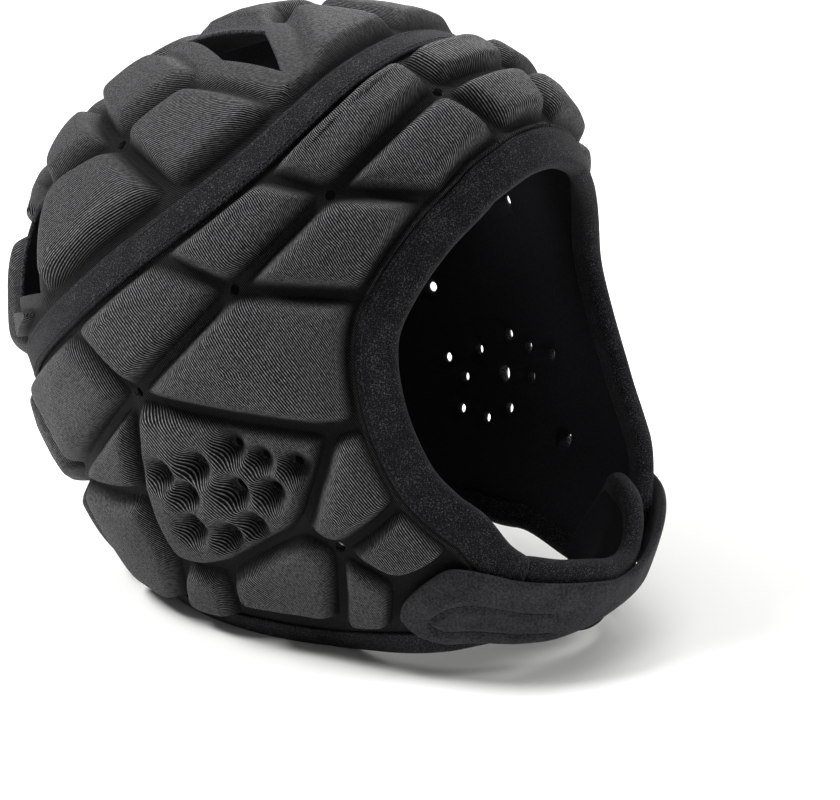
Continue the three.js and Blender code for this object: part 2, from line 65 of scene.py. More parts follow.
view_back = Vector(
    (
        math.sin(VIEW_AZIMUTH) * math.cos(VIEW_ELEVATION),
        -math.cos(VIEW_AZIMUTH) * math.cos(VIEW_ELEVATION),
        math.sin(VIEW_ELEVATION),
    )
)
view_right = Vector((math.cos(VIEW_AZIMUTH), math.sin(VIEW_AZIMUTH), 0))
lens = bpy.data.cameras.new("long_lens")
lens.sensor_width = SENSOR_MM
lens.lens = SENSOR_MM * FOCAL_PX / IMAGE_WIDTH_PX
camera = bpy.data.objects.new("camera", lens)
camera.location = EYE_M
camera.rotation_mode = "QUATERNION"
camera.rotation_quaternion = (-view_back).to_track_quat("-Z", "Y")
scene.collection.objects.link(camera)
scene.camera = camera
scene.view_settings.view_transform = "Standard"


def linear(colour):
    """Linear RGBA of an sRGB hex colour: c / 12.92 below 0.04045, else ((c + 0.055) / 1.055) ** 2.4."""
    srgb = [int(colour[i : i + 2], 16) / 255 for i in (1, 3, 5)]
    return (*(c / 12.92 if c <= 0.04045 else ((c + 0.055) / 1.055) ** 2.4 for c in srgb), 1)


def add(tree, kind, inputs, **settings):
    """Adds a node with its settings; inputs maps its sockets to values or to other nodes' output sockets."""
    made = tree.nodes.new(kind)
    for key, value in settings.items():
        setattr(made, key, value)
    for key, value in inputs.items():
        if isinstance(value, bpy.types.NodeSocket):
            tree.links.new(value, made.inputs[key])
        else:
            made.inputs[key].default_value = value
    return made


def new_material(name, **sockets):
    """A material with its shader's constant sockets set; gives the material, its tree and its shader."""
    material = bpy.data.materials.new(name)
    material.use_nodes = True
    shader = material.node_tree.nodes["Principled BSDF"]
    for key, value in sockets.items():
        shader.inputs[key.replace("_", " ")].default_value = value
    return material, material.node_tree, shader


def soft_box(name, right, up, back, size, watts):
    """A square area light, placed from the helmet's middle along the view's right, up and the view's back."""
    light = bpy.data.lights.new(name, "AREA")
    light.shape = "SQUARE"
    light.size = size
    light.energy = watts
    lamp = bpy.data.objects.new(name, light)
    lamp.location = AIM_M + right * view_right + up * Vector((0, 0, 1)) + back * view_back
    lamp.rotation_mode = "QUATERNION"
    lamp.rotation_quaternion = (AIM_M - lamp.location).to_track_quat("-Z", "Y")
    scene.collection.objects.link(lamp)


for box in SOFT_BOXES:
    soft_box(*box)

world = bpy.data.worlds.new("white_room")
world.use_nodes = True
background = world.node_tree.nodes["Background"]
background.inputs["Color"].default_value = linear(PAPER_WHITE)
background.inputs["Strength"].default_value = ROOM_LIGHT
scene.world = world

paper = new_material("floor_paper", Base_Color=linear(PAPER_WHITE), Roughness=0.9)[0]
floor_mesh = bpy.data.meshes.new("paper_floor")
floor_corners = [(x * FLOOR_M, y * FLOOR_M, 0) for x, y in ((-1, -1), (1, -1), (1, 1), (-1, 1))]
floor_mesh.from_pydata(floor_corners, [], [(0, 1, 2, 3)])
floor_mesh.materials.append(paper)
floor = bpy.data.objects.new("paper_floor", floor_mesh)
scene.collection.objects.link(floor)


# Front panel: the padded panel of the brow, the sides, the ears, the jaws and the nape. Sheet foam under
# ribbed knit fabric is pressed hot in a mould, which leaves thick pads between narrow grooves, eyelets
# punched where the grooves cross, and a cluster of dimpled holes over each ear.
HALF_WIDTH = 87
FRONT_LENGTH = 124
BACK_LENGTH = 107
UP_HEIGHT = 87
DOWN_HEIGHT = 158
LEAN_BACK = math.radians(25)
HEAD_CENTRE = np.array([0, 19.8, 112.6])
JAW_FLARE = 0.13
FLARE_UP = (2, 40)
FLARE_AROUND = (50, 86)
MM = 0.001


def smooth(value, low, high):
    """Smoothstep: 3 t^2 - 2 t^3 with t from 0 at low to 1 at high."""
    t = np.clip((value - low) / (high - low), 0, 1)
    return t * t * (3 - 2 * t)


def aim(around, up):
    """Unit direction from the head's centre: degrees round from the front to the right, and degrees up."""
    a, e = np.radians(around), np.radians(up)
    return np.stack([-np.cos(e) * np.sin(a), -np.cos(e) * np.cos(a), np.sin(e) + 0 * a], -1)


def half_axes(way):
    """Half axes of the egg's octant that each vector points into."""
    length = np.where(way[..., 1] < 0, FRONT_LENGTH, BACK_LENGTH)
    height = np.where(way[..., 2] < 0, DOWN_HEIGHT, UP_HEIGHT)
    return np.stack([np.full(length.shape, HALF_WIDTH), length, height], -1)


def lean(local, angle):
    """Turns vectors about X so that the egg's top leans back by the angle."""
    y = local[..., 1] * np.cos(angle) + local[..., 2] * np.sin(angle)
    z = -local[..., 1] * np.sin(angle) + local[..., 2] * np.cos(angle)
    return np.stack([local[..., 0], y, z], -1)


def unit(vectors):
    """Vectors scaled to length one."""
    return vectors / np.linalg.norm(vectors, axis=-1, keepdims=True)


def on_head(way, lift=0.0):
    """Point of the head form: the egg times a jaw flare, plus a lift along the egg's normal, leaned back."""
    axes = half_axes(way)
    around = np.degrees(np.abs(np.arctan2(way[..., 0], -way[..., 1])))
    down = -np.degrees(np.arcsin(np.clip(way[..., 2], -1, 1)))
    flare = 1 + JAW_FLARE * smooth(down, *FLARE_UP) * (1 - smooth(around, *FLARE_AROUND))
    local = way * axes * flare[..., None] + np.asarray(lift)[..., None] * unit(way / axes)
    return lean(local, LEAN_BACK) + HEAD_CENTRE


def way_to(points):
    """Direction in which each point lies, the inverse of the head form."""
    local = lean(points - HEAD_CENTRE, -LEAN_BACK)
    return unit(local / half_axes(local))


def mirrored(way):
    """The same directions on the other side of the midline."""
    return way * np.array([-1, 1, 1])


def through(knots, values, at):
    """Cubic Hermite curve through rows of values at rising knots, with Catmull-Rom tangents."""
    knots, values = np.asarray(knots, float), np.asarray(values, float)
    slope = np.gradient(values, knots, axis=0)
    k = np.clip(np.searchsorted(knots, at, "right") - 1, 0, len(knots) - 2)
    span = knots[k + 1] - knots[k]
    t = ((at - knots[k]) / span)[..., None]
    span = span[..., None]
    low, high = values[k], values[k + 1]
    rise = (2 * t**3 - 3 * t**2 + 1) * low + (3 * t**2 - 2 * t**3) * high
    return rise + span * ((t**3 - 2 * t**2 + t) * slope[k] + (t**3 - t**2) * slope[k + 1])


# Degrees round, degrees up, of the seam between the panels. It runs past the midline at both ends.
SEAM = [(-18, 40.7), (0, 42.4), (18, 40.7), (33, 36.8), (45, 31.4), (56, 25.8), (69, 20.4), (83, 15.6)]
SEAM += [(104, 9.1), (130, 3), (158, -2.6), (180, -4.4), (202, -2.6)]

# Name, degrees round and degrees up of the edge of the face opening, from the brow to the end of the jaw.
FACE_EDGE = [
    ("brow", 0, 3.5), ("brow_side", 6, 3.1), ("", 14, 1.2), ("temple", 21, -0.9), ("", 31, -3.8),
    ("eye", 40.5, -8), ("", 46.5, -12.5), ("cheek", 49, -19.5), ("mouth", 48.2, -26.5), ("", 45, -31),
    ("jaw", 40.5, -34.7), ("", 36.5, -39.4), ("jaw_end", 32, -42.5),
]
NECK_LEVEL = 0.9
JAW_RISE = 13
JAW_RISE_AROUND = (34, 90)
LEFT_ARCH = 11.7
ARCH_RISE = (58, 80)
ARCH_FALL = (92, 126)
NECK_SEARCH_DEG = (-80.0, -10.0)
HALVINGS = 40


def seam_way(around):
    """Direction of the seam at degrees round from the front."""
    table = np.array(SEAM, float)
    return aim(around, through(table[:, 0], table[:, 1:], around)[..., 0])


def face_way(row):
    """Direction of the face edge at a fraction of its table's rows."""
    table = np.array([turn[1:] for turn in FACE_EDGE], float)
    place = through(np.arange(len(table)), table, row)
    return aim(place[..., 0], place[..., 1])


def neck_way(around, left=False):
    """Direction of the neck edge, by halving: level behind, risen to the jaw, arched under the left ear."""
    level = NECK_LEVEL + JAW_RISE * (1 - smooth(around, *JAW_RISE_AROUND))
    if left:
        level = level + LEFT_ARCH * smooth(around, *ARCH_RISE) * (1 - smooth(around, *ARCH_FALL))
    low, high = (np.full(np.shape(around), end) for end in NECK_SEARCH_DEG)
    for _ in range(HALVINGS):
        middle = (low + high) / 2
        under = on_head(aim(around, middle))[..., 2] < level
        low, high = np.where(under, middle, low), np.where(under, high, middle)
    return aim(around, low)


def line_way(line, at, left, shift):
    """Direction at a place along a line: the left neck edge arches, and the seam is moved by the shift."""
    if line == "neck":
        return neck_way(at, left)
    if line == "face":
        return face_way(at)
    return unit(seam_way(at) + np.array([0, 0, math.radians(shift)]))


# Degrees round of the pads' corners on the seam, those of the front panel and of the crown, and on the neck.
SEAM_STOPS = dict(seam_front=0, s1=18, s2=60.5, s3=83, s4=108, s5=133, s6=158, seam_back=180)
SEAM_STOPS.update(c1=45, c2=71, c3=116, c4=140, c5=165)
NECK_STOPS = dict(neck_end=32, n1=67, n2=82, n3=107, n4=126, n5=148, n6=168, neck_back=180)

# Degrees round and degrees up of the groove crossings inside the panels and of the corners of the vents.
CROSSINGS = dict(
    g1=(15.7, 26), g2=(47, 11.8), g3=(68.3, -0.2), g4=(93.8, -7.8), g5=(129, -15), g6=(157, -18),
    ear_front=(60.7, -19.4), ear_low=(67.5, -33.6), ear_under=(95.4, -33.9), ear_heel=(107.5, -30.7),
    ear_back=(104.5, -20.2), ear_side=(73, -30.4), jaw_pad=(59, -38.6),
    top=(0, 70), top_in=(35.5, 61.1), top_out=(43.2, 43), top_side=(54.8, 55), top_back=(83, 82),
    crown=(88, 44), crown_in=(143, 65), rear_in=(153, 52), nape_in=(162, 30),
    rear_top=(117, 39), rear_front=(115, 15), rear_low=(139, 17), rear_back=(141, 35),
)
MIDLINE = ("seam_front", "seam_back", "brow", "neck_back", "top")

# Pads by their corners. Those on the wearer's right are mirrored, and those on the midline name both sides.
EAR_PAD = "g4 ear_front ear_side ear_under ear_heel ear_back"
FRONT_SIDE_PADS = [
    "s1 s2 g2 g1", "s2 s3 g3 g2", "s3 s4 g4 g3", "s4 s5 g5 g4", "s5 s6 g6 g5",
    "g1 g2 temple brow_side", "g2 g3 eye temple", "g3 g4 ear_front cheek eye", EAR_PAD,
    "ear_front cheek mouth ear_low ear_side", "ear_low mouth jaw jaw_pad", "ear_low jaw_pad n1 n2",
    "ear_side ear_low n2 n3 ear_under", "ear_under n3 n4 ear_heel", "g4 ear_back g5",
    "g5 ear_back ear_heel n4 n5", "g5 n5 n6 g6", "jaw_pad jaw jaw_end neck_end n1",
]
FRONT_MIDDLE_PADS = [
    "seam_front s1.R g1.R g1.L s1.L", "g1.R brow_side.R brow brow_side.L g1.L",
    "s6.R seam_back s6.L g6.L g6.R", "g6.R n6.R neck_back n6.L g6.L",
]

# Heights and widths in mm. A pad has a run up its slope, a round foot, shoulder and corners, and a dome.
WALL = 4
PAD_RISE = 7
FIRM = dict(run=3.6, foot=0.4, shoulder=1.1, corner=1.3, dome=1.7)
SOFT = dict(run=4.2, foot=0.5, shoulder=0.9, corner=1.5, dome=1.0)
FOOT_START = 1.2
DOME_RUN = 9
LEAST_HEIGHT = 0.55
HIGH_PADS = dict(low=185, high=200, behind=(-10, 15), share=0.2)
OUTLINE_STEP = 1.7
LINE_STEP = 4.0

# Width of the flat floor beside a pad, by the line of its edge, and of single edges by their corners.
MARGINS = {"groove": 1.3, "vent": 5.0, "seam": 7.0, "neck": 8.3, "face": 14.0}
EDGE_MARGINS = {
    ("top_out", "top_side"): 11.0, ("top_back", "top_side"): 8.0, ("top_in", "top_out"): 8.0,
    ("top_back", "top_in"): 3.0, ("n1", "n2"): 12.0, ("n2", "n3"): 15.5, ("n3", "n4"): 7.0, ("n4", "n5"): 6.5,
    ("c1", "c2"): 8.8, ("c2", "c3"): 9.8, ("c3", "c4"): 8.8, ("cheek", "mouth"): 12.6, ("jaw", "mouth"): 12.8,
}

# Height of the hem round the top and the rear vents, and the distances from the vent between which it falls.
HEM_LIFT = {"top": (4.5, 6, 15), "rear": (1.5, 2, 10)}
HEM_OFF_TAPE = (6.2, 11)
FACE_WELT = dict(at=12.0, height=1.5, width=1.0)

# Rings of a pad: shares of the way to its foot, of its slope's run, of its top, and of its lining.
FLANGE_ROWS = (0, 0.2, 0.4, 0.55, 0.65, 0.72, 0.78, 0.84, 0.9, 0.95)
SLOPE_SHARES = (0, 0.12, 0.24, 0.36, 0.48, 0.6, 0.72, 0.84, 0.96, 1.08, 1.22, 1.4, 1.64)
TOP_ROWS = (0.1, 0.25, 0.45, 0.7)
LINING_ROWS = (0, 0.08, 0.18, 0.3, 0.45, 0.7)
FULL_SHARE = 1.7
FIT_SHARE = 0.85
RAY_STEPS = 48
RAY_POWER = 1.3
SEAM_GAP = 0.12

places = {name: ("seam", at) for name, at in SEAM_STOPS.items()}
places.update({name: ("neck", at) for name, at in NECK_STOPS.items()})
places.update({row[0]: ("face", at) for at, row in enumerate(FACE_EDGE) if row[0]})
places.update({name: ("groove", at) for name, at in CROSSINGS.items()})


def bare(corner):
    """A corner's name without its side."""
    return corner.partition(".")[0]


def corner_way(corner, shift):
    """Direction of a named corner; one on the seam is moved off it by a small angle."""
    line, at = places[bare(corner)]
    left = corner.endswith(".L")
    way = aim(*at) if line == "groove" else line_way(line, np.float64(at), left, shift)
    return mirrored(way) if left else way


def edge_line(start, end):
    """The line that two corners share, or groove where they share none."""
    lines = [places[bare(corner)][0] for corner in (start, end)]
    return lines[0] if lines[0] == lines[1] else "groove"


def edge_ways(start, end, shift, step):
    """Directions from one corner to the next, both included, the same from either end."""
    first, last = sorted((start, end))
    ends = corner_way(first, shift), corner_way(last, shift)
    span = np.linalg.norm(on_head(ends[0]) - on_head(ends[1]))
    t = np.linspace(0, 1, max(2, int(round(span / step))) + 1)
    line = edge_line(first, last)
    if line == "groove":
        ways = unit(ends[0] * (1 - t)[:, None] + ends[1] * t[:, None])
    else:
        a, b = (places[bare(corner)][1] for corner in (first, last))
        left = first.endswith(".L") or last.endswith(".L")
        ways = line_way(line, a + (b - a) * t, left, shift)
        ways = mirrored(ways) if left else ways
    return ways if start == first else ways[::-1]


def pad_list(side_pads, middle_pads, shift):
    """Corner lists of a panel's pads on both sides, each counter-clockwise from outside."""
    pads = []
    for side in "RL":
        for names in side_pads:
            pads.append([name if name in MIDLINE else f"{name}.{side}" for name in names.split()])
    pads += [names.split() for names in middle_pads]
    turned = []
    for corners in pads:
        ways = np.array([corner_way(corner, shift) for corner in corners])
        turn = (np.cross(ways, np.roll(ways, -1, 0)) @ unit(ways.sum(0))).sum()
        turned.append(corners if turn > 0 else corners[::-1])
    return turned


def gap_to(points, line):
    """Distance of each point to a polyline: the least over its segments of the distance to the segment."""
    along = np.diff(line, axis=0)
    offset = points[..., None, :] - line[:-1]
    t = np.clip((offset * along).sum(-1) / (along**2).sum(-1), 0, 1)
    return np.linalg.norm(offset - t[..., None] * along, axis=-1).min(-1)


def pad_height(points, inset, fit, feel):
    """Pad profile over its inset: a ramp with a rounded foot and shoulder, then a slight dome.

    Pads with little room for their slopes are lower, and those high on the head rise more.
    """
    foot, shoulder = feel["foot"], feel["shoulder"]
    ramp = foot * np.logaddexp(0, inset / fit / feel["run"] * PAD_RISE / foot - FOOT_START)
    top = -shoulder * np.logaddexp(-ramp / shoulder, -PAD_RISE / shoulder)
    dome = feel["dome"] * (1 - np.exp(-np.maximum(inset - feel["run"], 0) / DOME_RUN))
    high = HIGH_PADS["share"] * smooth(points[..., 2], HIGH_PADS["low"], HIGH_PADS["high"])
    high = high * smooth(points[..., 1], *HIGH_PADS["behind"])
    return (top + dome) * (LEAST_HEIGHT + (1 - LEAST_HEIGHT) * fit) * (1 + high)


def edge_margin(start, end, free):
    """Width of the flat floor beside a pad along an edge: its own entry, or that of its line."""
    names = tuple(sorted(bare(corner) for corner in (start, end)))
    line = edge_line(start, end)
    return EDGE_MARGINS.get(names, MARGINS["vent" if free and line == "groove" else line])


RIPPLE_MM = 0.11
RIPPLE_WAVES = np.array([(0.31, 0.11, -0.19), (-0.14, 0.36, 0.09), (0.08, -0.17, 0.29)])
RIPPLE_PHASES = np.array([0.4, 2.1, 4.0])


def foam_ripple(points):
    """Slight unevenness of pressed foam: three crossed sine waves of 15 to 30 mm."""
    return RIPPLE_MM * np.sin(points @ RIPPLE_WAVES.T + RIPPLE_PHASES).sum(-1)


def seam_frame(points):
    """Distances from the midline, and along and above the seam's plane, which slopes at 45 degrees."""
    y, z = (points - HEAD_CENTRE)[..., 1], (points - HEAD_CENTRE)[..., 2]
    return np.abs(points[..., 0]), (z - y) / math.sqrt(2), (z + y) / math.sqrt(2)


KNIT_TURN = dict(front=40, across=25, along=20)
KNIT_FRONT = 113


def front_knit(points):
    """Fabric coordinates: along the seam, so that ribs leave it square, and across it. Even in x."""
    across, along, above = seam_frame(points)
    front = np.tanh(along / KNIT_TURN["front"])
    ahead = 0.5 + 0.5 * np.tanh(along / KNIT_TURN["along"])
    near = 1 - (1 - np.tanh(across / KNIT_TURN["across"])) * ahead
    return np.stack([across * front + HALF_WIDTH * (1 - front) + (KNIT_FRONT - along) * near, above], -1)


def middle_knit(points):
    """Fabric coordinates of a front pad on the midline: across the head, and across the seam."""
    return np.stack([points[..., 0], seam_frame(points)[2]], -1)


# Degrees round and degrees up of the holes over an ear.
EAR_HOLES = [
    (94.8, -18.2), (86.2, -18.6), (78.1, -17.8), (73.9, -20.2), (68.4, -21.9), (91.3, -21.8),
    (81, -23.1), (74.5, -24.4), (94.2, -26.2), (81.2, -28.3), (87.6, -28.8),
]
EAR_DIMPLE = dict(radius=10.5, depth=10.4, blend=1.2, flat=0.1)
EAR_LATTICE = 0.95
LATTICE_ROW = 0.866
LATTICE_CLEAR = 0.55


def ear_dent(points, side):
    """Depth of the dimples over an ear: the soft maximum of smooth cones round the holes."""
    ways = aim(*np.array(EAR_HOLES, float).T)
    holes = on_head(ways if side == "R" else mirrored(ways))
    gap = np.linalg.norm(points[..., None, :] - holes, axis=-1) / EAR_DIMPLE["radius"]
    depth = EAR_DIMPLE["depth"] * (1 - smooth(gap, EAR_DIMPLE["flat"], 1.0))
    blend = EAR_DIMPLE["blend"]
    return blend * (np.log(np.exp(depth / blend).sum(-1)) - math.log(len(EAR_HOLES)))


def lattice_fill(ring):
    """Even triangle lattice inside a ring of directions, laid out flat round the ring's middle.

    Gives the directions of the ring and of the lattice, and triangles over both.
    """
    centre = unit(ring.sum(0))
    side = unit(np.cross(centre, [0, 0, 1.0]))
    up = np.cross(side, centre)
    step = 1e-3
    base = on_head(centre)
    stretch = np.stack([(on_head(unit(centre + step * axis)) - base) / step for axis in (side, up)], -1)
    scale = np.linalg.qr(stretch)[1]
    flat = ring / (ring @ centre)[:, None]
    outline = np.stack([flat @ side, flat @ up], -1) @ scale.T
    steps = (EAR_LATTICE, LATTICE_ROW * EAR_LATTICE)
    u, v = np.meshgrid(*(np.arange(*span) for span in zip(outline.min(0), outline.max(0), steps)))
    u = u + 0.5 * EAR_LATTICE * (np.arange(len(u)) % 2)[:, None]
    grid = np.stack([u.ravel(), v.ravel()], -1)
    a, b = outline, np.roll(outline, -1, 0)
    over = (a[:, 1] > grid[:, None, 1]) != (b[:, 1] > grid[:, None, 1])
    climb = (grid[:, None, 1] - a[:, 1]) / np.where(over, b[:, 1] - a[:, 1], 1)
    inside = (over & (grid[:, None, 0] < a[:, 0] + climb * (b[:, 0] - a[:, 0]))).sum(1) % 2 == 1
    clear = gap_to(grid, np.concatenate([outline, outline[:1]])) > LATTICE_CLEAR * EAR_LATTICE
    dots = np.concatenate([outline, grid[inside & clear]])
    made = delaunay_2d_cdt([Vector(dot) for dot in dots], [], [list(range(len(ring)))], 1, 1e-7)
    flat_dots = np.array([tuple(dot) for dot in made[0]]) @ np.linalg.inv(scale).T
    ways = unit(centre + flat_dots[:, :1] * side + flat_dots[:, 1:] * up)
    return ways, np.array(made[2])


# Share of a slope's lift that is taken up by the fabric, and mm from a pad's middle over which that grows.
STRETCH = dict(share=0.62, over=18)


class Quilt:
    """Loose patches of a panel: points with lift, fabric coordinates, faces and their material."""

    def __init__(self):
        self.cloth = None
        self.points, self.uv, self.rises, self.faces, self.finish = [], [], [], [], []
        self.count = 0
        self.middle = 0.0

    def add(self, ways, lift, faces, finish, bulge=0.0, dent=0.0):
        """Adds points at directions and lifts, less a dent, moved by a bulge, and faces over them.

        The fabric is counted along a pad's slopes: its coordinate loses a share of the lift, more away from
        the pad's middle, so that a slope holds as many ribs as its length needs.
        """
        lift = np.broadcast_to(np.asarray(lift, float), ways.shape[:-1])
        self.points.append((on_head(ways, lift - dent) + bulge).reshape(-1, 3))
        uv = self.cloth(on_head(ways))
        off = np.tanh((uv[..., 0] - self.middle) / STRETCH["over"])
        uv[..., 0] -= STRETCH["share"] * np.maximum(lift, 0) * off
        self.uv.append(uv.reshape(-1, 2))
        self.rises.append((lift - dent).ravel())
        self.faces += (np.asarray(faces) + self.count).tolist()
        self.finish += [finish] * len(faces)
        self.count += self.points[-1].shape[0]


def ring_faces(rows, length):
    """Quads between successive closed rings of a grid, outward where the rings run counter-clockwise."""
    r, i = np.meshgrid(np.arange(rows - 1), np.arange(length), indexing="ij")
    j = (i + 1) % length
    corners = [r * length + i, r * length + j, (r + 1) * length + j, (r + 1) * length + i]
    return np.stack(corners, -1).reshape(-1, 4)


def fan_faces(ring, centre):
    """Triangles from a closed ring of indices to a centre."""
    return np.stack([ring, np.roll(ring, -1), np.full(len(ring), centre)], -1)


KNIT, LINING, CUT_FOAM = 0, 1, 2
FACE_LINE_STEPS = 90
face_half = on_head(face_way(np.linspace(0, len(FACE_EDGE) - 1, FACE_LINE_STEPS)))
face_line = np.concatenate([mirrored(face_half)[:0:-1], face_half])


def face_welt(points):
    """Height of the welt along the face edge: a bell over the distance to the edge."""
    off = (gap_to(points, face_line) - FACE_WELT["at"]) / FACE_WELT["width"]
    return FACE_WELT["height"] * np.exp(-(off**2))


RIPPLE_OVER = (0.3, 5)
DENT_OVER = (1, 6)


def add_pad(quilt, corners, uses, shift, ear, wall, hem, feel):
    """One pad: rings at even insets from its grooves, and the lining and the cut edges that go with it.

    The inset is the rounded least of the distances to the pad's edges, each less its margin.
    """
    pairs = list(zip(corners, corners[1:] + corners[:1]))
    fine = [edge_ways(a, b, shift, OUTLINE_STEP) for a, b in pairs]
    rough = [on_head(edge_ways(a, b, shift, LINE_STEP)) for a, b in pairs]
    free = [uses[tuple(sorted(pair))] == 1 for pair in pairs]
    margins = [edge_margin(a, b, is_free) for (a, b), is_free in zip(pairs, free)]
    rounding = feel["corner"]
    outline = np.concatenate([ways[:-1] for ways in fine])
    centre = unit(outline.sum(0))
    length = len(outline)

    def inset_of(points):
        total = sum(np.exp((m - gap_to(points, line)) / rounding) for line, m in zip(rough, margins))
        return -rounding * np.log(total)

    reach = np.linspace(0, 1, RAY_STEPS) ** RAY_POWER
    rays = unit(outline[:, None] * (1 - reach)[:, None] + centre * reach[:, None])
    depth = np.maximum.accumulate(inset_of(on_head(rays)), 1)
    deepest = depth[:, -1].min()
    fit = min(1.0, FIT_SHARE * deepest / (FULL_SHARE * feel["run"]))

    def reach_of(inset):
        k = np.clip((depth < inset).sum(1), 1, RAY_STEPS - 1)
        row = np.arange(length)
        low, high = depth[row, k - 1], depth[row, k]
        t = np.clip((inset - low) / np.maximum(high - low, 1e-9), 0, 1)
        return reach[k - 1] + t * (reach[k] - reach[k - 1])

    flat = any(corner.startswith("jaw_end") for corner in corners)
    quilt.middle = quilt.cloth(on_head(centre))[0]
    foot = reach_of(0.0)
    insets = np.array(SLOPE_SHARES) * feel["run"] * fit
    reaches = [foot * t for t in FLANGE_ROWS] + [reach_of(inset) for inset in insets]
    if not ear:
        reaches += [reach_of(insets[-1] + t * (deepest - insets[-1])) for t in TOP_ROWS]
    reaches = np.array(reaches)[..., None]
    ways = unit(outline * (1 - reaches) + centre * reaches)
    rows = len(ways)
    floors = on_head(ways)
    lift = 0 * floors[..., 0] if flat else pad_height(floors, inset_of(floors), fit, feel)
    lift = lift + foam_ripple(floors) * smooth(lift, *RIPPLE_OVER)
    lift[0] = 0
    lift = lift + face_welt(floors) + hem(floors) * (1 - np.clip(lift / PAD_RISE, 0, 1))
    if ear:
        inner, triangles = lattice_fill(ways[-1])
        inner_floor = on_head(inner)
        slope_dent = ear_dent(floors, ear) * smooth(lift, *DENT_OVER)
        quilt.add(ways, lift, ring_faces(rows, length), KNIT, dent=slope_dent)
        inner_lift = pad_height(inner_floor, inset_of(inner_floor), fit, feel) + foam_ripple(inner_floor)
        quilt.add(inner, inner_lift, triangles, KNIT, dent=ear_dent(inner_floor, ear))
    else:
        quilt.add(ways, lift, ring_faces(rows, length), KNIT)
        top = np.concatenate([ways[-1], centre[None]])
        peak = on_head(centre)
        peak_lift = 0 if flat else pad_height(peak, deepest, fit, feel) + foam_ripple(peak)
        quilt.add(top, np.append(lift[-1], peak_lift), fan_faces(np.arange(length), length), KNIT)
    inner_reach = np.array(LINING_ROWS)[:, None, None]
    lining = unit(outline * (1 - inner_reach) + centre * inner_reach)
    quilt.add(lining, -wall(on_head(lining)), ring_faces(len(LINING_ROWS), length)[:, ::-1], LINING)
    middle = np.concatenate([lining[-1], centre[None]])
    quilt.add(middle, -wall(on_head(middle)), fan_faces(np.arange(length), length)[:, ::-1], LINING)
    for pair, ways, is_free in zip(pairs, fine, free):
        if is_free:
            edge = on_head(ways)
            is_bare = edge_line(*pair) == "groove"
            add_cut_edge(quilt, ways, face_welt(edge) + hem(edge), wall(edge), centre, is_bare)


# Share of the depth of a cut edge, and its bulge in mm there.
CUT_ROWS = [(0.0, 0.0), (0.12, 0.25), (0.35, 0.4), (0.65, 0.4), (0.88, 0.25), (1.0, 0.0)]


def add_cut_edge(quilt, ways, top, depth, centre, is_bare):
    """Wall of a cut edge, from the outer face to the lining. It bulges where no tape or binding covers it."""
    points = on_head(ways)
    along = np.gradient(points, axis=0)
    normal = on_head(ways, 1.0) - points
    out = unit(np.cross(along, normal))
    out = out * np.sign((out * (points - on_head(centre))).sum(-1))[:, None]
    ends = np.ones(len(ways))
    ends[[0, -1]] = 0
    shares = np.array(CUT_ROWS) * (1, is_bare)
    lift = top * (1 - shares[:, :1]) - depth * shares[:, :1]
    bulge = shares[:, 1, None, None] * out * ends[:, None]
    r, i = np.meshgrid(np.arange(len(shares) - 1), np.arange(len(ways) - 1), indexing="ij")
    n = len(ways)
    faces = np.stack([r * n + i + 1, r * n + i, (r + 1) * n + i, (r + 1) * n + i + 1], -1).reshape(-1, 4)
    quilt.add(np.broadcast_to(ways, (len(shares), *ways.shape)), lift, faces, CUT_FOAM, bulge)


WELD_M = 2e-6


def make_piece(name, points, faces, materials, finish, uv=None, rise=None):
    """A welded, smooth mesh object of points in mm; a padded one has fabric UVs in metres and its rise."""
    mesh = bpy.data.meshes.new(name)
    mesh.from_pydata((points * MM).tolist(), [], faces)
    for material in materials:
        mesh.materials.append(material)
    mesh.polygons.foreach_set("material_index", np.asarray(finish, np.int32))
    if uv is not None:
        loops = np.zeros(len(mesh.loops), np.int32)
        mesh.loops.foreach_get("vertex_index", loops)
        layer = mesh.uv_layers.new(name="cloth")
        layer.data.foreach_set("uv", (uv * MM)[loops].astype(np.float32).ravel())
        mesh.attributes.new("rise", "FLOAT", "POINT").data.foreach_set("value", rise.astype(np.float32))
    shell = bmesh.new()
    shell.from_mesh(mesh)
    bmesh.ops.remove_doubles(shell, verts=shell.verts, dist=WELD_M)
    shell.to_mesh(mesh)
    shell.free()
    mesh.polygons.foreach_set("use_smooth", np.ones(len(mesh.polygons), bool))
    mesh.update()
    piece = bpy.data.objects.new(name, mesh)
    scene.collection.objects.link(piece)
    return piece


VENT_THINNING = dict(by=2.4, over=7)
seam_half = on_head(seam_way(np.arange(0, 181, 2)))
seam_line = np.concatenate([seam_half, mirrored(seam_half)[::-1]])


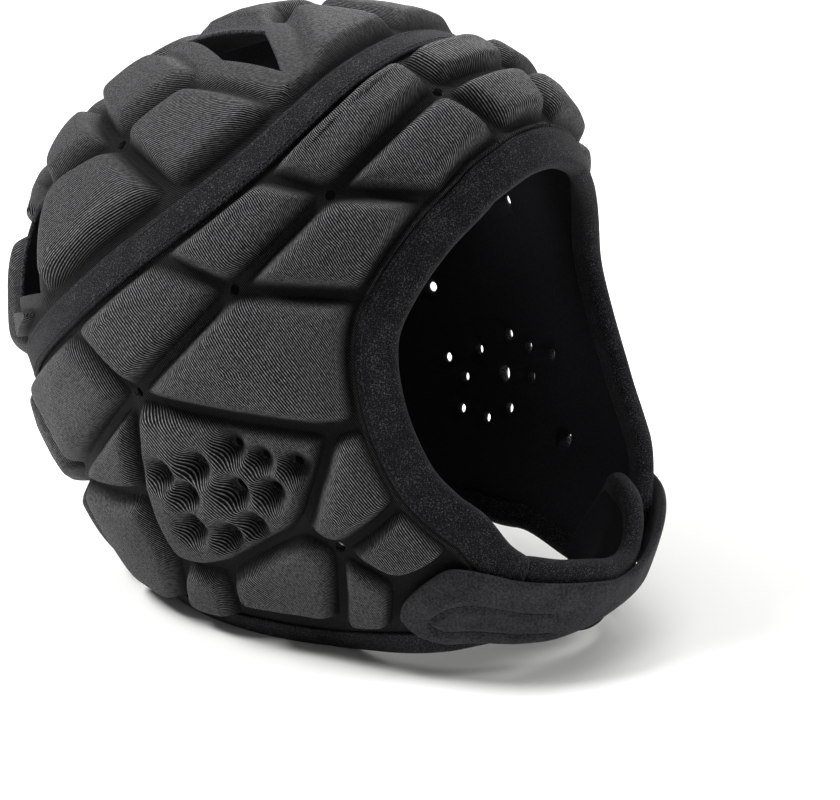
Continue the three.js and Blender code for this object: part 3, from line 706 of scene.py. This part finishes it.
def panel_piece(name, pads, shift, cloth, materials, soft):
    """A whole padded panel as one closed mesh with fabric coordinates; its foam rises and thins to a vent."""
    uses = {}
    for corners in pads:
        for pair in zip(corners, corners[1:] + corners[:1]):
            key = tuple(sorted(pair))
            uses[key] = uses.get(key, 0) + 1
    vents = [key for key, times in uses.items() if times == 1 and edge_line(*key) == "groove"]
    vent_lines = [on_head(edge_ways(*key, shift, LINE_STEP)) for key in vents]

    def hem(points):
        raised = 0.0
        off_tape = smooth(gap_to(points, seam_line), *HEM_OFF_TAPE)
        for family, (height, near, far) in HEM_LIFT.items():
            lines = [line for key, line in zip(vents, vent_lines) if key[0].startswith(family)]
            if lines:
                gap = np.min([gap_to(points, line) for line in lines], 0)
                raised = raised + height * (1 - smooth(gap, near, far))
        return raised * off_tape

    def wall(points):
        gap = np.min([gap_to(points, line) for line in vent_lines], 0)
        return WALL - VENT_THINNING["by"] * (1 - smooth(gap, 0, VENT_THINNING["over"])) - hem(points)

    quilt = Quilt()
    ear = {tuple(sorted(f"{n}.{side}" for n in EAR_PAD.split())): side for side in "RL"}
    for corners in pads:
        on_midline = any(corner in MIDLINE for corner in corners)
        feel = SOFT if soft or on_midline else FIRM
        quilt.cloth = middle_knit if on_midline and not soft else cloth
        add_pad(quilt, corners, uses, shift, ear.get(tuple(sorted(corners))), wall, hem, feel)
    rise = np.clip(np.concatenate(quilt.rises) / PAD_RISE, 0, 1)
    points, uv = np.concatenate(quilt.points), np.concatenate(quilt.uv)
    return make_piece(name, points, quilt.faces, materials, quilt.finish, uv, rise)


PUNCH_SIDES = 20
PUNCH_PAST = dict(inside=1.0, outside=4.0)
FUNNEL_RADIUS = 5.2
EYELET_LIP = 1.2
EAR_LIP = 2.0
ANY_SIDE = np.array([0.3, 0.2, 0.9])
CREASE = math.radians(55)


def punch(piece, ways, radius, lip, funnel):
    """Punches round holes through a panel along the head's normal, each widened to a funnel on the inside.

    Each tool is a ring of points at three stations: the funnel's mouth, its neck at the lip, past the pads.
    """
    t = np.linspace(0, 2 * math.pi, PUNCH_SIDES, endpoint=False)
    low = on_head(ways, -WALL - PUNCH_PAST["inside"])
    neck = on_head(ways, -lip)
    high = on_head(ways, PAD_RISE + PUNCH_PAST["outside"])
    axis = unit(high - low)
    side = unit(np.cross(axis, ANY_SIDE))
    rim = np.cos(t)[:, None] * side[:, None] + np.sin(t)[:, None] * np.cross(axis, side)[:, None]
    bore = radius[:, None, None] * rim
    mouth = funnel[:, None, None] * rim
    rings = np.stack([low[:, None] + mouth, neck[:, None] + bore, high[:, None] + bore], 1)
    i = np.arange(PUNCH_SIDES)
    j = (i + 1) % PUNCH_SIDES
    walls = np.stack([i, j, j + PUNCH_SIDES, i + PUNCH_SIDES], -1)
    faces = [i[::-1].tolist(), (i + 2 * PUNCH_SIDES).tolist()]
    faces += walls.tolist() + (walls + PUNCH_SIDES).tolist()
    finish = [CUT_FOAM, CUT_FOAM] + [LINING] * PUNCH_SIDES + [CUT_FOAM] * PUNCH_SIDES
    starts = 3 * PUNCH_SIDES * np.arange(len(ways))
    mesh = bpy.data.meshes.new("punch")
    every = [[k + int(start) for k in face] for start in starts for face in faces]
    mesh.from_pydata((rings.reshape(-1, 3) * MM).tolist(), [], every)
    for material in piece.data.materials:
        mesh.materials.append(material)
    mesh.polygons.foreach_set("material_index", np.tile(np.array(finish, np.int32), len(ways)))
    tool = bpy.data.objects.new("punch", mesh)
    scene.collection.objects.link(tool)
    cut = piece.modifiers.new("punch", "BOOLEAN")
    cut.solver = "MANIFOLD"
    cut.object = tool
    cut.material_mode = "INDEX"
    bpy.context.view_layer.update()
    cut_mesh = bpy.data.meshes.new_from_object(piece.evaluated_get(bpy.context.evaluated_depsgraph_get()))
    piece.modifiers.clear()
    piece.data = cut_mesh
    cut_mesh.name = piece.name
    cut_mesh.set_sharp_from_angle(angle=CREASE)
    bpy.data.objects.remove(tool)


def maths(tree, operation, *values):
    """Output of a math node over values or other nodes' outputs."""
    return add(tree, "ShaderNodeMath", dict(enumerate(values)), operation=operation).outputs[0]


def noise(tree, place, grain_mm, detail, roughness=0.5):
    """Output of a noise with a grain of about the given size."""
    sockets = {"Vector": place, "Scale": 1 / (grain_mm * MM), "Detail": detail, "Roughness": roughness}
    return add(tree, "ShaderNodeTexNoise", sockets).outputs["Fac"]


def ranged(tree, value, low, high, new_low, new_high):
    """Output of a map from one range to another."""
    sockets = {"Value": value, "From Min": low, "From Max": high, "To Min": new_low, "To Max": new_high}
    return add(tree, "ShaderNodeMapRange", sockets).outputs[0]


def tones(tree, value, first, last, *between):
    """Output of a colour ramp through stops of position and sRGB hex colour."""
    ramp = add(tree, "ShaderNodeValToRGB", {"Fac": value})
    for element, (position, colour) in zip(ramp.color_ramp.elements, (first, last)):
        element.position = position
        element.color = linear(colour)
    for position, colour in between:
        ramp.color_ramp.elements.new(position).color = linear(colour)
    return ramp.outputs["Color"]


def emboss(tree, shader, height, depth_mm, strength):
    """Bumps a shader's surface by a height, at a depth in mm."""
    sockets = {"Height": height, "Distance": depth_mm * MM, "Strength": strength}
    tree.links.new(add(tree, "ShaderNodeBump", sockets).outputs["Normal"], shader.inputs["Normal"])


def grained(name, grain, stops, sockets, relief=None, nap=None):
    """A material mottled by fine noise over the piece.

    Grain is the noise's size in mm, detail and roughness, and relief its depth in mm and strength. Nap is
    the size in mm and the share of a broader noise that is added for the colour.
    """
    material, tree, shader = new_material(name, **sockets)
    place = add(tree, "ShaderNodeTexCoord", {}).outputs["Object"]
    fine = noise(tree, place, *grain)
    value = fine
    if nap:
        size, share = nap
        value = maths(tree, "MULTIPLY_ADD", noise(tree, place, size, 2.0), share, fine)
    tree.links.new(tones(tree, value, *stops), shader.inputs["Base Color"])
    if relief:
        emboss(tree, shader, fine, *relief)
    return material


# Ribbed polyester knit: fine ribs with a pebbled yarn along each rib, their crests painted pale as a painted
# highlight and the lines between them near black as painted shade. It is nearly black, with a soft sheen on
# the crests, and darker on groove floors and low pad slopes: partly cloth pressed denser there, partly
# painted shade.
RIB_PITCH_MM = 0.84
RIB_DEPTH_MM = 0.45
RIB_WANDER_MM = 0.35
WANDER_GRAIN_MM = 12
YARN_MM = 0.75
YARN_STRETCH = (1.0, 0.6, 1.0)
YARN_RELIEF = 0.35

knit, tree, shader = new_material(
    "ribbed_polyester_knit", Roughness=0.6, Specular_IOR_Level=0.12, Sheen_Weight=0.02, Sheen_Roughness=0.4
)
cloth_uv = add(tree, "ShaderNodeUVMap", {}, uv_map="cloth").outputs["UV"]
wander = noise(tree, cloth_uv, WANDER_GRAIN_MM, 2.0)
drift = maths(tree, "MULTIPLY_ADD", wander, RIB_WANDER_MM * MM, 0.0)
course = maths(tree, "ADD", add(tree, "ShaderNodeSeparateXYZ", {"Vector": cloth_uv}).outputs["X"], drift)
phase = maths(tree, "MULTIPLY", course, math.pi / (RIB_PITCH_MM * MM))
rib = maths(tree, "ABSOLUTE", maths(tree, "SINE", phase))
squeeze = add(tree, "ShaderNodeMapping", {"Vector": cloth_uv, "Scale": YARN_STRETCH})
yarn = noise(tree, squeeze.outputs["Vector"], YARN_MM, 2.0, 0.6)
crest = maths(tree, "MULTIPLY", rib, ranged(tree, yarn, 0.3, 0.7, 0.86, 1.0))
knit_rise = add(tree, "ShaderNodeAttribute", {}, attribute_name="rise").outputs["Fac"]
# Painted highlight and painted shade: rib crests are painted pale for the sheen they catch, and the lines
# between them near black for the shade in them.
rib_tone_painted_sheen_and_shade = tones(tree, crest, (0.8, "#030303"), (0.96, "#848486"))
# Painted shade: the colour is scaled down by the pad's rise, darkest on groove floors and low slopes; partly
# cloth pressed denser there, partly painted shade.
pressing_and_painted_shade = ranged(tree, knit_rise, 0.08, 0.7, 0.08, 1.0)
knit_colour_painted_shade = add(tree, "ShaderNodeVectorMath", {"Vector": rib_tone_painted_sheen_and_shade, "Scale": pressing_and_painted_shade}, operation="SCALE")
tree.links.new(knit_colour_painted_shade.outputs["Vector"], shader.inputs["Base Color"])
emboss(tree, shader, maths(tree, "MULTIPLY_ADD", yarn, YARN_RELIEF, rib), RIB_DEPTH_MM, 0.8)
tree.links.new(ranged(tree, crest, 0.0, 1.0, 0.95, 0.45), shader.inputs["Roughness"])

# Tricot lining: a thin smooth knit glued to the inside of the foam, almost black, with a faint pebble.
lining_cloth = grained(
    "tricot_lining",
    grain=(0.9, 1.0),
    stops=[(0.0, "#131315"), (1.0, "#26262a")],
    relief=(0.1, 0.5),
    sockets=dict(Roughness=0.85, Specular_IOR_Level=0.1),
)

# Cut foam: the edge of pressed EVA sheet with frayed knit on it, dark grey and open-pored.
cut_foam = grained(
    "cut_eva_foam",
    grain=(0.8, 3.0),
    stops=[(0.4, "#1a1a1c"), (0.75, "#545458")],
    relief=(0.25, 0.8),
    sockets=dict(Roughness=0.9, Specular_IOR_Level=0.1),
)

PANEL_MATERIALS = (knit, lining_cloth, cut_foam)
EYELET_MM = 1.9
EAR_HOLE_MM = 2.0
MIDDLE_EAR_HOLE = 6
MIDDLE_HOLE_MM = 3.0
FRONT_EYELETS = ("g1", "g2", "g3", "g4", "ear_low")

front_pads = pad_list(FRONT_SIDE_PADS, FRONT_MIDDLE_PADS, -SEAM_GAP)
front_panel = panel_piece("front_panel_pads", front_pads, -SEAM_GAP, front_knit, PANEL_MATERIALS, False)
hole_places = [CROSSINGS[name] for name in FRONT_EYELETS] + EAR_HOLES
punched = aim(*np.array(hole_places).T)
hole_counts = (len(FRONT_EYELETS), len(EAR_HOLES))
hole_radii = np.repeat([EYELET_MM, EAR_HOLE_MM], hole_counts)
hole_radii[len(FRONT_EYELETS) + MIDDLE_EAR_HOLE] = MIDDLE_HOLE_MM
punch_radii = np.tile(hole_radii, 2)
punch_lips = np.tile(np.repeat([EYELET_LIP, EAR_LIP], hole_counts), 2)
straight_bore = np.arange(len(punch_radii)) == FRONT_EYELETS.index("ear_low")
punch_funnels = np.where(straight_bore, EYELET_MM, FUNNEL_RADIUS)
punch(front_panel, np.concatenate([punched, mirrored(punched)]), punch_radii, punch_lips, punch_funnels)
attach(front_panel, "root")
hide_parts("front_panel")


# Crown panel: the padded panel of the top and back of the head, pressed from the same foam and knit, with
# its ribs laid along the seam. Two vents on each side are cut right through it, each with a raised hem.
CROWN_SIDE_PADS = [
    "seam_front c1 top_out top_in top", "top_out c1 c2 crown top_side", "crown c2 c3 rear_front rear_top",
    "top_side crown crown_in top_back", "crown rear_top rear_in crown_in",
    "rear_top rear_back nape_in rear_in", "rear_front c3 c4 rear_low", "rear_back rear_low c4 c5 nape_in",
]
CROWN_MIDDLE_PADS = [
    "top top_in.R top_back.R top_back.L top_in.L", "top_back.R crown_in.R crown_in.L top_back.L",
    "crown_in.R rear_in.R nape_in.R nape_in.L rear_in.L crown_in.L",
    "nape_in.R c5.R seam_back c5.L nape_in.L",
]
CROWN_HEIGHT = 105
CROWN_TURN = 60


def crown_knit(points):
    """Fabric coordinates: above the seam and then over the top, so that ribs run along it, and along it."""
    x = points[..., 0]
    along, above = seam_frame(points)[1:]
    return np.stack([x + np.tanh(x / CROWN_TURN) * (CROWN_HEIGHT - above), along], -1)


crown_pads = pad_list(CROWN_SIDE_PADS, CROWN_MIDDLE_PADS, SEAM_GAP)
crown_panel = panel_piece("crown_panel_pads", crown_pads, SEAM_GAP, crown_knit, PANEL_MATERIALS, True)
crown_hole = aim(*np.array([CROSSINGS["crown"]]).T)
crown_holes = np.concatenate([crown_hole, mirrored(crown_hole)])
punch(crown_panel, crown_holes, np.full(2, EYELET_MM), np.full(2, EYELET_LIP), np.full(2, FUNNEL_RADIUS))
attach(crown_panel, "root")
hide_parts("crown_panel")


# Seam tape: a brushed stretch tape sewn flat over the seam of the two panels, in a closed loop, with a row of
# stitches near each of its edges.
TAPE_WIDTH = 10.4
TAPE_THICKNESS = 1.3
TAPE_STEP_DEG = 0.8
TAPE_POINTS = 13
TAPE_LIFT = dict(edge=0.75, arch=0.35, power=4)
TAPE_STITCHES = dict(inset=1.2, lift=1.65)
STITCH_PITCH = 2.2
STITCH_LENGTH = 1.6
THREAD_RADIUS = 0.22
THREAD_RINGS = 5
THREAD_SIDES = 6
THREAD_ARCH = dict(rise=0.35, sunk=0.2, thinning=0.75)
AHEAD_MM = 0.3
ROUND_EDGE_DEG = (60, 20, -20, -60)


def edge_frames(ways, loop):
    """Points along a line on the head, with the form's normal and the way across the line, to its left."""
    points = on_head(ways)
    along = np.roll(points, -1, 0) - np.roll(points, 1, 0) if loop else np.gradient(points, axis=0)
    normal = unit(on_head(ways, 1.0) - points)
    return points, normal, unit(np.cross(along, normal))


def beside(frames, distance, height):
    """Points at distances across a line, laid on the head, and heights over it; straight past an edge."""
    points, normal, across = (part[:, None] for part in frames)
    shape = (len(points), np.shape(distance)[-1])
    distance, height = np.broadcast_to(distance, shape), np.broadcast_to(height, shape)
    straight = points + across * distance[..., None] + normal * height[..., None]
    laid = on_head(way_to(points + across * distance[..., None]), height)
    return np.where((distance < 0)[..., None], straight, laid)


def strip_section(path, thickness):
    """Closed outline of a thin strip about a path of (distance, height), with round edges."""
    path = np.array(path, float)
    along = unit(np.gradient(path, axis=0))
    side = np.stack([-along[:, 1], along[:, 0]], -1)
    half = thickness / 2
    turn = np.radians(ROUND_EDGE_DEG)[:, None]
    tail = path[-1] + half * (np.cos(turn) * along[-1] + np.sin(turn) * side[-1])
    head = path[0] + half * (-np.cos(turn) * along[0] - np.sin(turn) * side[0])
    return np.concatenate([path + half * side, tail, (path - half * side)[::-1], head])


def tube_faces(stations, sides, loop):
    """Quads round a swept section, and end caps where it isn't a loop."""
    last = stations if loop else stations - 1
    s, k = np.meshgrid(np.arange(last), np.arange(sides), indexing="ij")
    n = (k + 1) % sides
    t = (s + 1) % stations
    faces = np.stack([s * sides + k, s * sides + n, t * sides + n, t * sides + k], -1).reshape(-1, 4).tolist()
    if not loop:
        faces += [list(range(sides))[::-1], [(stations - 1) * sides + k for k in range(sides)]]
    return faces


def resample(line, pitch):
    """Points at an even pitch along a polyline, and the unit directions there."""
    length = np.concatenate([[0], np.cumsum(np.linalg.norm(np.diff(line, axis=0), axis=1))])
    count = int(length[-1] // pitch)
    at = (np.arange(count) + 0.5) * length[-1] / count
    points = np.stack([np.interp(at, length, line[:, k]) for k in range(3)], -1)
    ahead = np.stack([np.interp(at + AHEAD_MM, length, line[:, k]) for k in range(3)], -1)
    return points, unit(ahead - points)


def stitches(line, normals):
    """A row of stitches on a line: short round threads that rise from the cloth and dive back into it."""
    points, along = resample(line, STITCH_PITCH)
    up = unit(normals[np.argmin(np.linalg.norm(points[:, None] - line[None], axis=-1), 1)])
    side = unit(np.cross(up, along))
    up = np.cross(along, side)
    u = np.linspace(-1, 1, THREAD_RINGS)[:, None]
    t = np.linspace(0, 2 * math.pi, THREAD_SIDES, endpoint=False)[None]
    radius = THREAD_RADIUS * np.sqrt(1 - THREAD_ARCH["thinning"] * u**2)
    height = radius * np.sin(t) + THREAD_ARCH["rise"] * (1 - u**2) - THREAD_ARCH["sunk"]
    body = (u * STITCH_LENGTH / 2 + 0 * t, radius * np.cos(t), height)
    x, y, z = (part.ravel()[:, None] for part in body)
    threads = points[:, None] + x * along[:, None] + y * side[:, None] + z * up[:, None]
    faces = tube_faces(THREAD_RINGS, THREAD_SIDES, False)
    starts = range(0, threads.shape[0] * threads.shape[1], threads.shape[1])
    return threads.reshape(-1, 3), [[k + start for k in face] for start in starts for face in faces]


def joined(name, parts, materials):
    """One piece of several parts, each of points, faces and its material's index, pressed on the floor."""
    faces, finish, count = [], [], 0
    for part_points, part_faces, index in parts:
        faces += [[k + count for k in face] for face in part_faces]
        finish += [index] * len(part_faces)
        count += len(part_points)
    points = np.concatenate([part[0] for part in parts])
    points[:, 2] = np.maximum(points[:, 2], 0)
    return make_piece(name, points, faces, materials, finish)


def swept(frames, across, heights, loop):
    """A section of distances across and heights swept along a line's frames."""
    rings = beside(frames, across, heights)
    return rings.reshape(-1, 3), tube_faces(len(rings), rings.shape[1], loop)


def sewn_strip(name, frames, section, rows, loop):
    """A strip of tape swept along a line, with rows of stitches at distances and heights beside the line."""
    parts = [(*swept(frames, *section.T, loop), 0)]
    for distance, height in rows:
        line, normals = beside(frames, np.array([distance]), np.array([height]))[:, 0], frames[1]
        if loop:
            line, normals = (np.concatenate([ring, ring[:1]]) for ring in (line, normals))
        parts.append((*stitches(line, normals), 1))
    return joined(name, parts, (stretch_tape, thread))


# Brushed stretch tape: black nylon with a slightly blue cast, fuzzy, with sparse pale fibre ends.
stretch_tape = grained(
    "brushed_stretch_tape",
    grain=(0.42, 3.0, 0.7),
    stops=[(0.5, "#08080a"), (0.86, "#74747c"), (0.6, "#111114")],
    relief=(0.35, 0.8),
    nap=(6, 0.1),
    sockets=dict(Roughness=0.8, Specular_IOR_Level=0.1, Sheen_Weight=0.04, Sheen_Roughness=0.5),
)

# Polyester sewing thread: twisted, dark grey, a little glossier than the cloth.
thread = grained(
    "polyester_thread",
    grain=(0.4, 1.0),
    stops=[(0.0, "#08080a"), (1.0, "#222226")],
    sockets=dict(Roughness=0.5, Specular_IOR_Level=0.3),
)

seam_loop = np.concatenate(
    [seam_way(np.arange(0, 180, TAPE_STEP_DEG)), mirrored(seam_way(np.arange(180, 0, -TAPE_STEP_DEG)))]
)
tape_half = TAPE_WIDTH / 2
tape_across = np.linspace(-tape_half, tape_half, TAPE_POINTS)
tape_rise = TAPE_LIFT["edge"] + TAPE_LIFT["arch"] * (1 - (tape_across / tape_half) ** TAPE_LIFT["power"])
tape_section = strip_section(np.stack([tape_across, tape_rise], -1), TAPE_THICKNESS)
stitch_off = tape_half - TAPE_STITCHES["inset"]
tape_rows = [(-stitch_off, TAPE_STITCHES["lift"]), (stitch_off, TAPE_STITCHES["lift"])]
seam_tape = sewn_strip("seam_tape_sewn", edge_frames(seam_loop, True), tape_section, tape_rows, True)
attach(seam_tape, "root")
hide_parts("seam_tape")


# Face binding: the same stretch tape folded round the raw edge of the face opening, up the front of the left
# jaw, over the brow and down to the end of the right jaw, and sewn down near its outer edge. On the right the
# same strip runs on along the chin flap, so the two edges are laid out together.
BINDING_THICKNESS = 1.2
BINDING_LIFT = 0.9
BINDING_STITCHES = dict(inset=1.4, lift=0.55)
BINDING_STATIONS = 150
FOLD_REACH = 0.8
FOLD_POINTS = dict(outer=9, turn=11, inner=6)
FACE_BINDING = dict(outer=10.2, inner=7.5)

# Degrees round, degrees up of the top and bottom edges, and lift in mm of the chin flap's inner face.
FLAP_ROWS = [
    (31.2, -42.6, -52.8, -4), (22, -45, -55.6, -3.6), (12, -46.6, -57, -2.8), (2, -47.8, -57.8, -2),
    (-8, -47.6, -57.8, -2.6), (-17, -45, -57, -5), (-25, -42, -56, -8.5), (-33, -40.4, -55.4, -12),
    (-40, -39.8, -55.2, -12.5), (-46, -40.4, -54.9, -12.5), (-51, -42, -54.4, -12.5),
    (-55, -44.8, -53.4, -12.5), (-57.4, -48, -51.4, -12.5),
]


def binding_section(outer, inner):
    """Section of a folded binding: inner flange, half turn round the edge and outer flange."""
    bend = WALL / 2 + BINDING_LIFT
    turn = np.radians(np.linspace(90, 270, FOLD_POINTS["turn"]))[1:-1]
    top = [(d, BINDING_LIFT) for d in np.linspace(outer, 0, FOLD_POINTS["outer"])]
    fold = [(FOLD_REACH * bend * math.cos(t), -WALL / 2 + bend * math.sin(t)) for t in turn]
    under = [(d, -WALL - BINDING_LIFT) for d in np.linspace(0, inner, FOLD_POINTS["inner"])]
    return strip_section((top + fold + under)[::-1], BINDING_THICKNESS)


def sewn_binding(name, frames, widths):
    """A folded binding along an edge, with a row of stitches near its outer edge."""
    row = (widths["outer"] - BINDING_STITCHES["inset"], BINDING_LIFT + BINDING_STITCHES["lift"])
    return sewn_strip(name, frames, binding_section(**widths), [row], False)


def table_columns(rows, stations):
    """Columns of a table at even steps through its rows."""
    table = np.array(rows, float)
    return through(np.arange(len(table)), table, np.linspace(0, len(table) - 1, stations)).T


face_rows = np.linspace(0, len(FACE_EDGE) - 1, BINDING_STATIONS)
jaw_front = mirrored(edge_ways("neck_end.R", "jaw_end.R", 0, OUTLINE_STEP))[:-1]
face_ways = np.concatenate([jaw_front, mirrored(face_way(face_rows))[:0:-1], face_way(face_rows)])
flap_around, flap_top, flap_bottom, flap_lift = table_columns(FLAP_ROWS, BINDING_STATIONS)
flap_edge = np.concatenate([aim(flap_around, flap_top), aim(flap_around, flap_bottom)[::-1]])
bound_frames = edge_frames(np.concatenate([face_ways, flap_edge]), False)
face_frames = tuple(part[: len(face_ways)] for part in bound_frames)
face_binding = sewn_binding("face_binding_sewn", face_frames, FACE_BINDING)
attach(face_binding, "root")
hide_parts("face_binding")


# Neck binding: a narrower tape folded round the neck edge, on which the helmet stands, so that its fold is
# pressed flat round the back and the sides. On the left it ends short of the face binding.
NECK_BINDING = dict(outer=7.2, inner=6.0)
NECK_STATIONS = 180
NECK_ENDS_DEG = dict(right=32, left=41)

neck_right = neck_way(np.linspace(NECK_ENDS_DEG["right"], 180, NECK_STATIONS))
neck_left = neck_way(np.linspace(180, NECK_ENDS_DEG["left"], NECK_STATIONS)[1:], True)
neck_frames = edge_frames(np.concatenate([neck_right, mirrored(neck_left)]), False)
neck_binding = sewn_binding("neck_binding_sewn", neck_frames, NECK_BINDING)
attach(neck_binding, "root")
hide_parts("neck_binding")


# Chin flap: a thin foam flap in lining cloth that runs on from the right jaw, round the chin and inside the
# left jaw, where it ends in a broad rounded tip. The strip that binds the face opening runs on along its top
# edge and tapers away towards the tip.
STRAP_SIDES = 96
STRAP_EDGE_POWER = 7
FLAP_BINDING = dict(outer=5.4, inner=5.0)
FLAP_BODY = 3.4
FLAP_TAPER = dict(share=0.8, around=(38, 52))
JOIN_STATIONS = 14


def strap_points(columns, thickness):
    """A strap on the head form between its top and bottom edges, with a round-edged section at each station.

    The section's share across is 0.5 - 0.5 cos, and its half thickness is a superellipse of the share.
    """
    around, top, bottom, lift = (column[:, None] for column in columns)
    t = np.linspace(0, 2 * math.pi, STRAP_SIDES, endpoint=False)
    share = 0.5 - 0.5 * np.cos(t)
    rise = np.sign(np.sin(t)) * np.sqrt(np.maximum(1 - np.abs(np.cos(t)) ** STRAP_EDGE_POWER, 0))
    height = lift + thickness / 2 + rise * thickness / 2
    ways = aim(around + 0 * share, top + (bottom - top) * share)
    return on_head(ways, height).reshape(-1, 3), tube_faces(len(around), STRAP_SIDES, False)


flap_columns = (flap_around, flap_top, flap_bottom, flap_lift + (WALL - FLAP_BODY) / 2)
edge_base = np.concatenate([[0], flap_lift + WALL])[:, None]
join = len(face_ways) - 1
flap_frames = tuple(part[join : join + len(edge_base)] for part in bound_frames)
narrowing = smooth(np.arange(len(edge_base)), 0, JOIN_STATIONS)[:, None]
tapered = smooth(-np.concatenate([flap_around[:1], flap_around]), *FLAP_TAPER["around"])[:, None]
tapering = 1 - FLAP_TAPER["share"] * tapered
wide, narrow = (binding_section(**widths) for widths in (FACE_BINDING, FLAP_BINDING))
across = (wide[:, 0] * (1 - narrowing) + narrow[:, 0] * narrowing) * tapering
heights = (narrow[:, 1] + WALL / 2) * tapering - WALL / 2 + edge_base
parts = [(*strap_points(flap_columns, FLAP_BODY), 0), (*swept(flap_frames, across, heights, False), 1)]
chin_flap = joined("chin_flap_bound", parts, (lining_cloth, stretch_tape))
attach(chin_flap, "root")
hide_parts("chin_flap")


# Chin strap: a wider soft strap sewn outside the left jaw, which passes round the chin and closes with a
# rounded hook tab on the right jaw. The hook patch behind the tab shows as a stitched outline.
STRAP_THICKNESS = 3
STRAP_STATIONS = 220
PATCH_STATIONS = 160
PATCH_GROOVE = dict(depth=0.9, width=1.1, thread=0.7)

# Degrees round, degrees up of the top and bottom edges, and lift in mm of the strap's inner face.
STRAP_ROWS = [
    (60.4, -43.2, -43.8, 2.3), (59.2, -41.6, -46, 2.3), (56.5, -39.9, -47.6, 2.3),
    (52.8, -38.5, -48.7, 2.3), (49, -37.9, -49.4, 2.3), (45, -38.9, -50.3, 2.3), (40, -40.8, -51.6, 2.4),
    (34, -43, -52.9, 2.6), (24, -45.4, -54.2, 3), (12, -47.4, -54.2, 3.4), (2, -48.4, -53.4, 3.6),
    (-8, -47.6, -52.6, 3.7), (-16, -45.4, -52, 3.7), (-24, -42.6, -51.6, 3.5), (-33, -40.2, -50.8, 3.1),
    (-42, -38.4, -49.6, 2.7), (-50, -36.9, -47.6, 2.3), (-55, -36.9, -46.6, 2.3),
]

# Place along the strap as a share of its stations, and share across it, of the patch's stitched outline.
PATCH_OUTLINE = [
    (0.46, 0.5), (0.36, 0.46), (0.24, 0.46), (0.17, 0.5), (0.14, 0.62), (0.17, 0.76), (0.24, 0.81),
    (0.36, 0.82), (0.46, 0.84),
]

# Brushed loop fabric: knitted nylon with a raised nap, an even charcoal with little contrast.
brushed_loop = grained(
    "brushed_loop_fabric",
    grain=(0.8, 3.0, 0.65),
    stops=[(0.5, "#0d0d0f"), (0.95, "#3a3a3e")],
    relief=(0.3, 0.7),
    nap=(9, 0.4),
    sockets=dict(Roughness=0.9, Specular_IOR_Level=0.1, Sheen_Weight=0.05, Sheen_Roughness=0.6),
)

strap_columns = table_columns(STRAP_ROWS, STRAP_STATIONS)
patch_along, patch_across = table_columns(PATCH_OUTLINE, PATCH_STATIONS)
patch_at = patch_along * (STRAP_STATIONS - 1)
stations = np.arange(STRAP_STATIONS)
around, top, bottom, lift = (np.interp(patch_at, stations, column) for column in strap_columns)
patch_ways = aim(around, top + (bottom - top) * patch_across)
patch_line = on_head(patch_ways, lift + STRAP_THICKNESS)
strap_cloth, strap_faces = strap_points(strap_columns, STRAP_THICKNESS)
sunk = PATCH_GROOVE["depth"] * np.exp(-((gap_to(strap_cloth, patch_line) / PATCH_GROOVE["width"]) ** 2))
strap_ways = way_to(strap_cloth)
strap_cloth = strap_cloth - sunk[:, None] * unit(on_head(strap_ways, 1.0) - on_head(strap_ways))
thread_line = on_head(patch_ways, lift + STRAP_THICKNESS - PATCH_GROOVE["thread"] * PATCH_GROOVE["depth"])
outline = stitches(thread_line, on_head(patch_ways, 1.0) - on_head(patch_ways))
parts = [(strap_cloth, strap_faces, 0), (*outline, 1)]
chin_strap = joined("chin_strap_brushed", parts, (brushed_loop, thread))
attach(chin_strap, "root")
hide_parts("chin_strap")
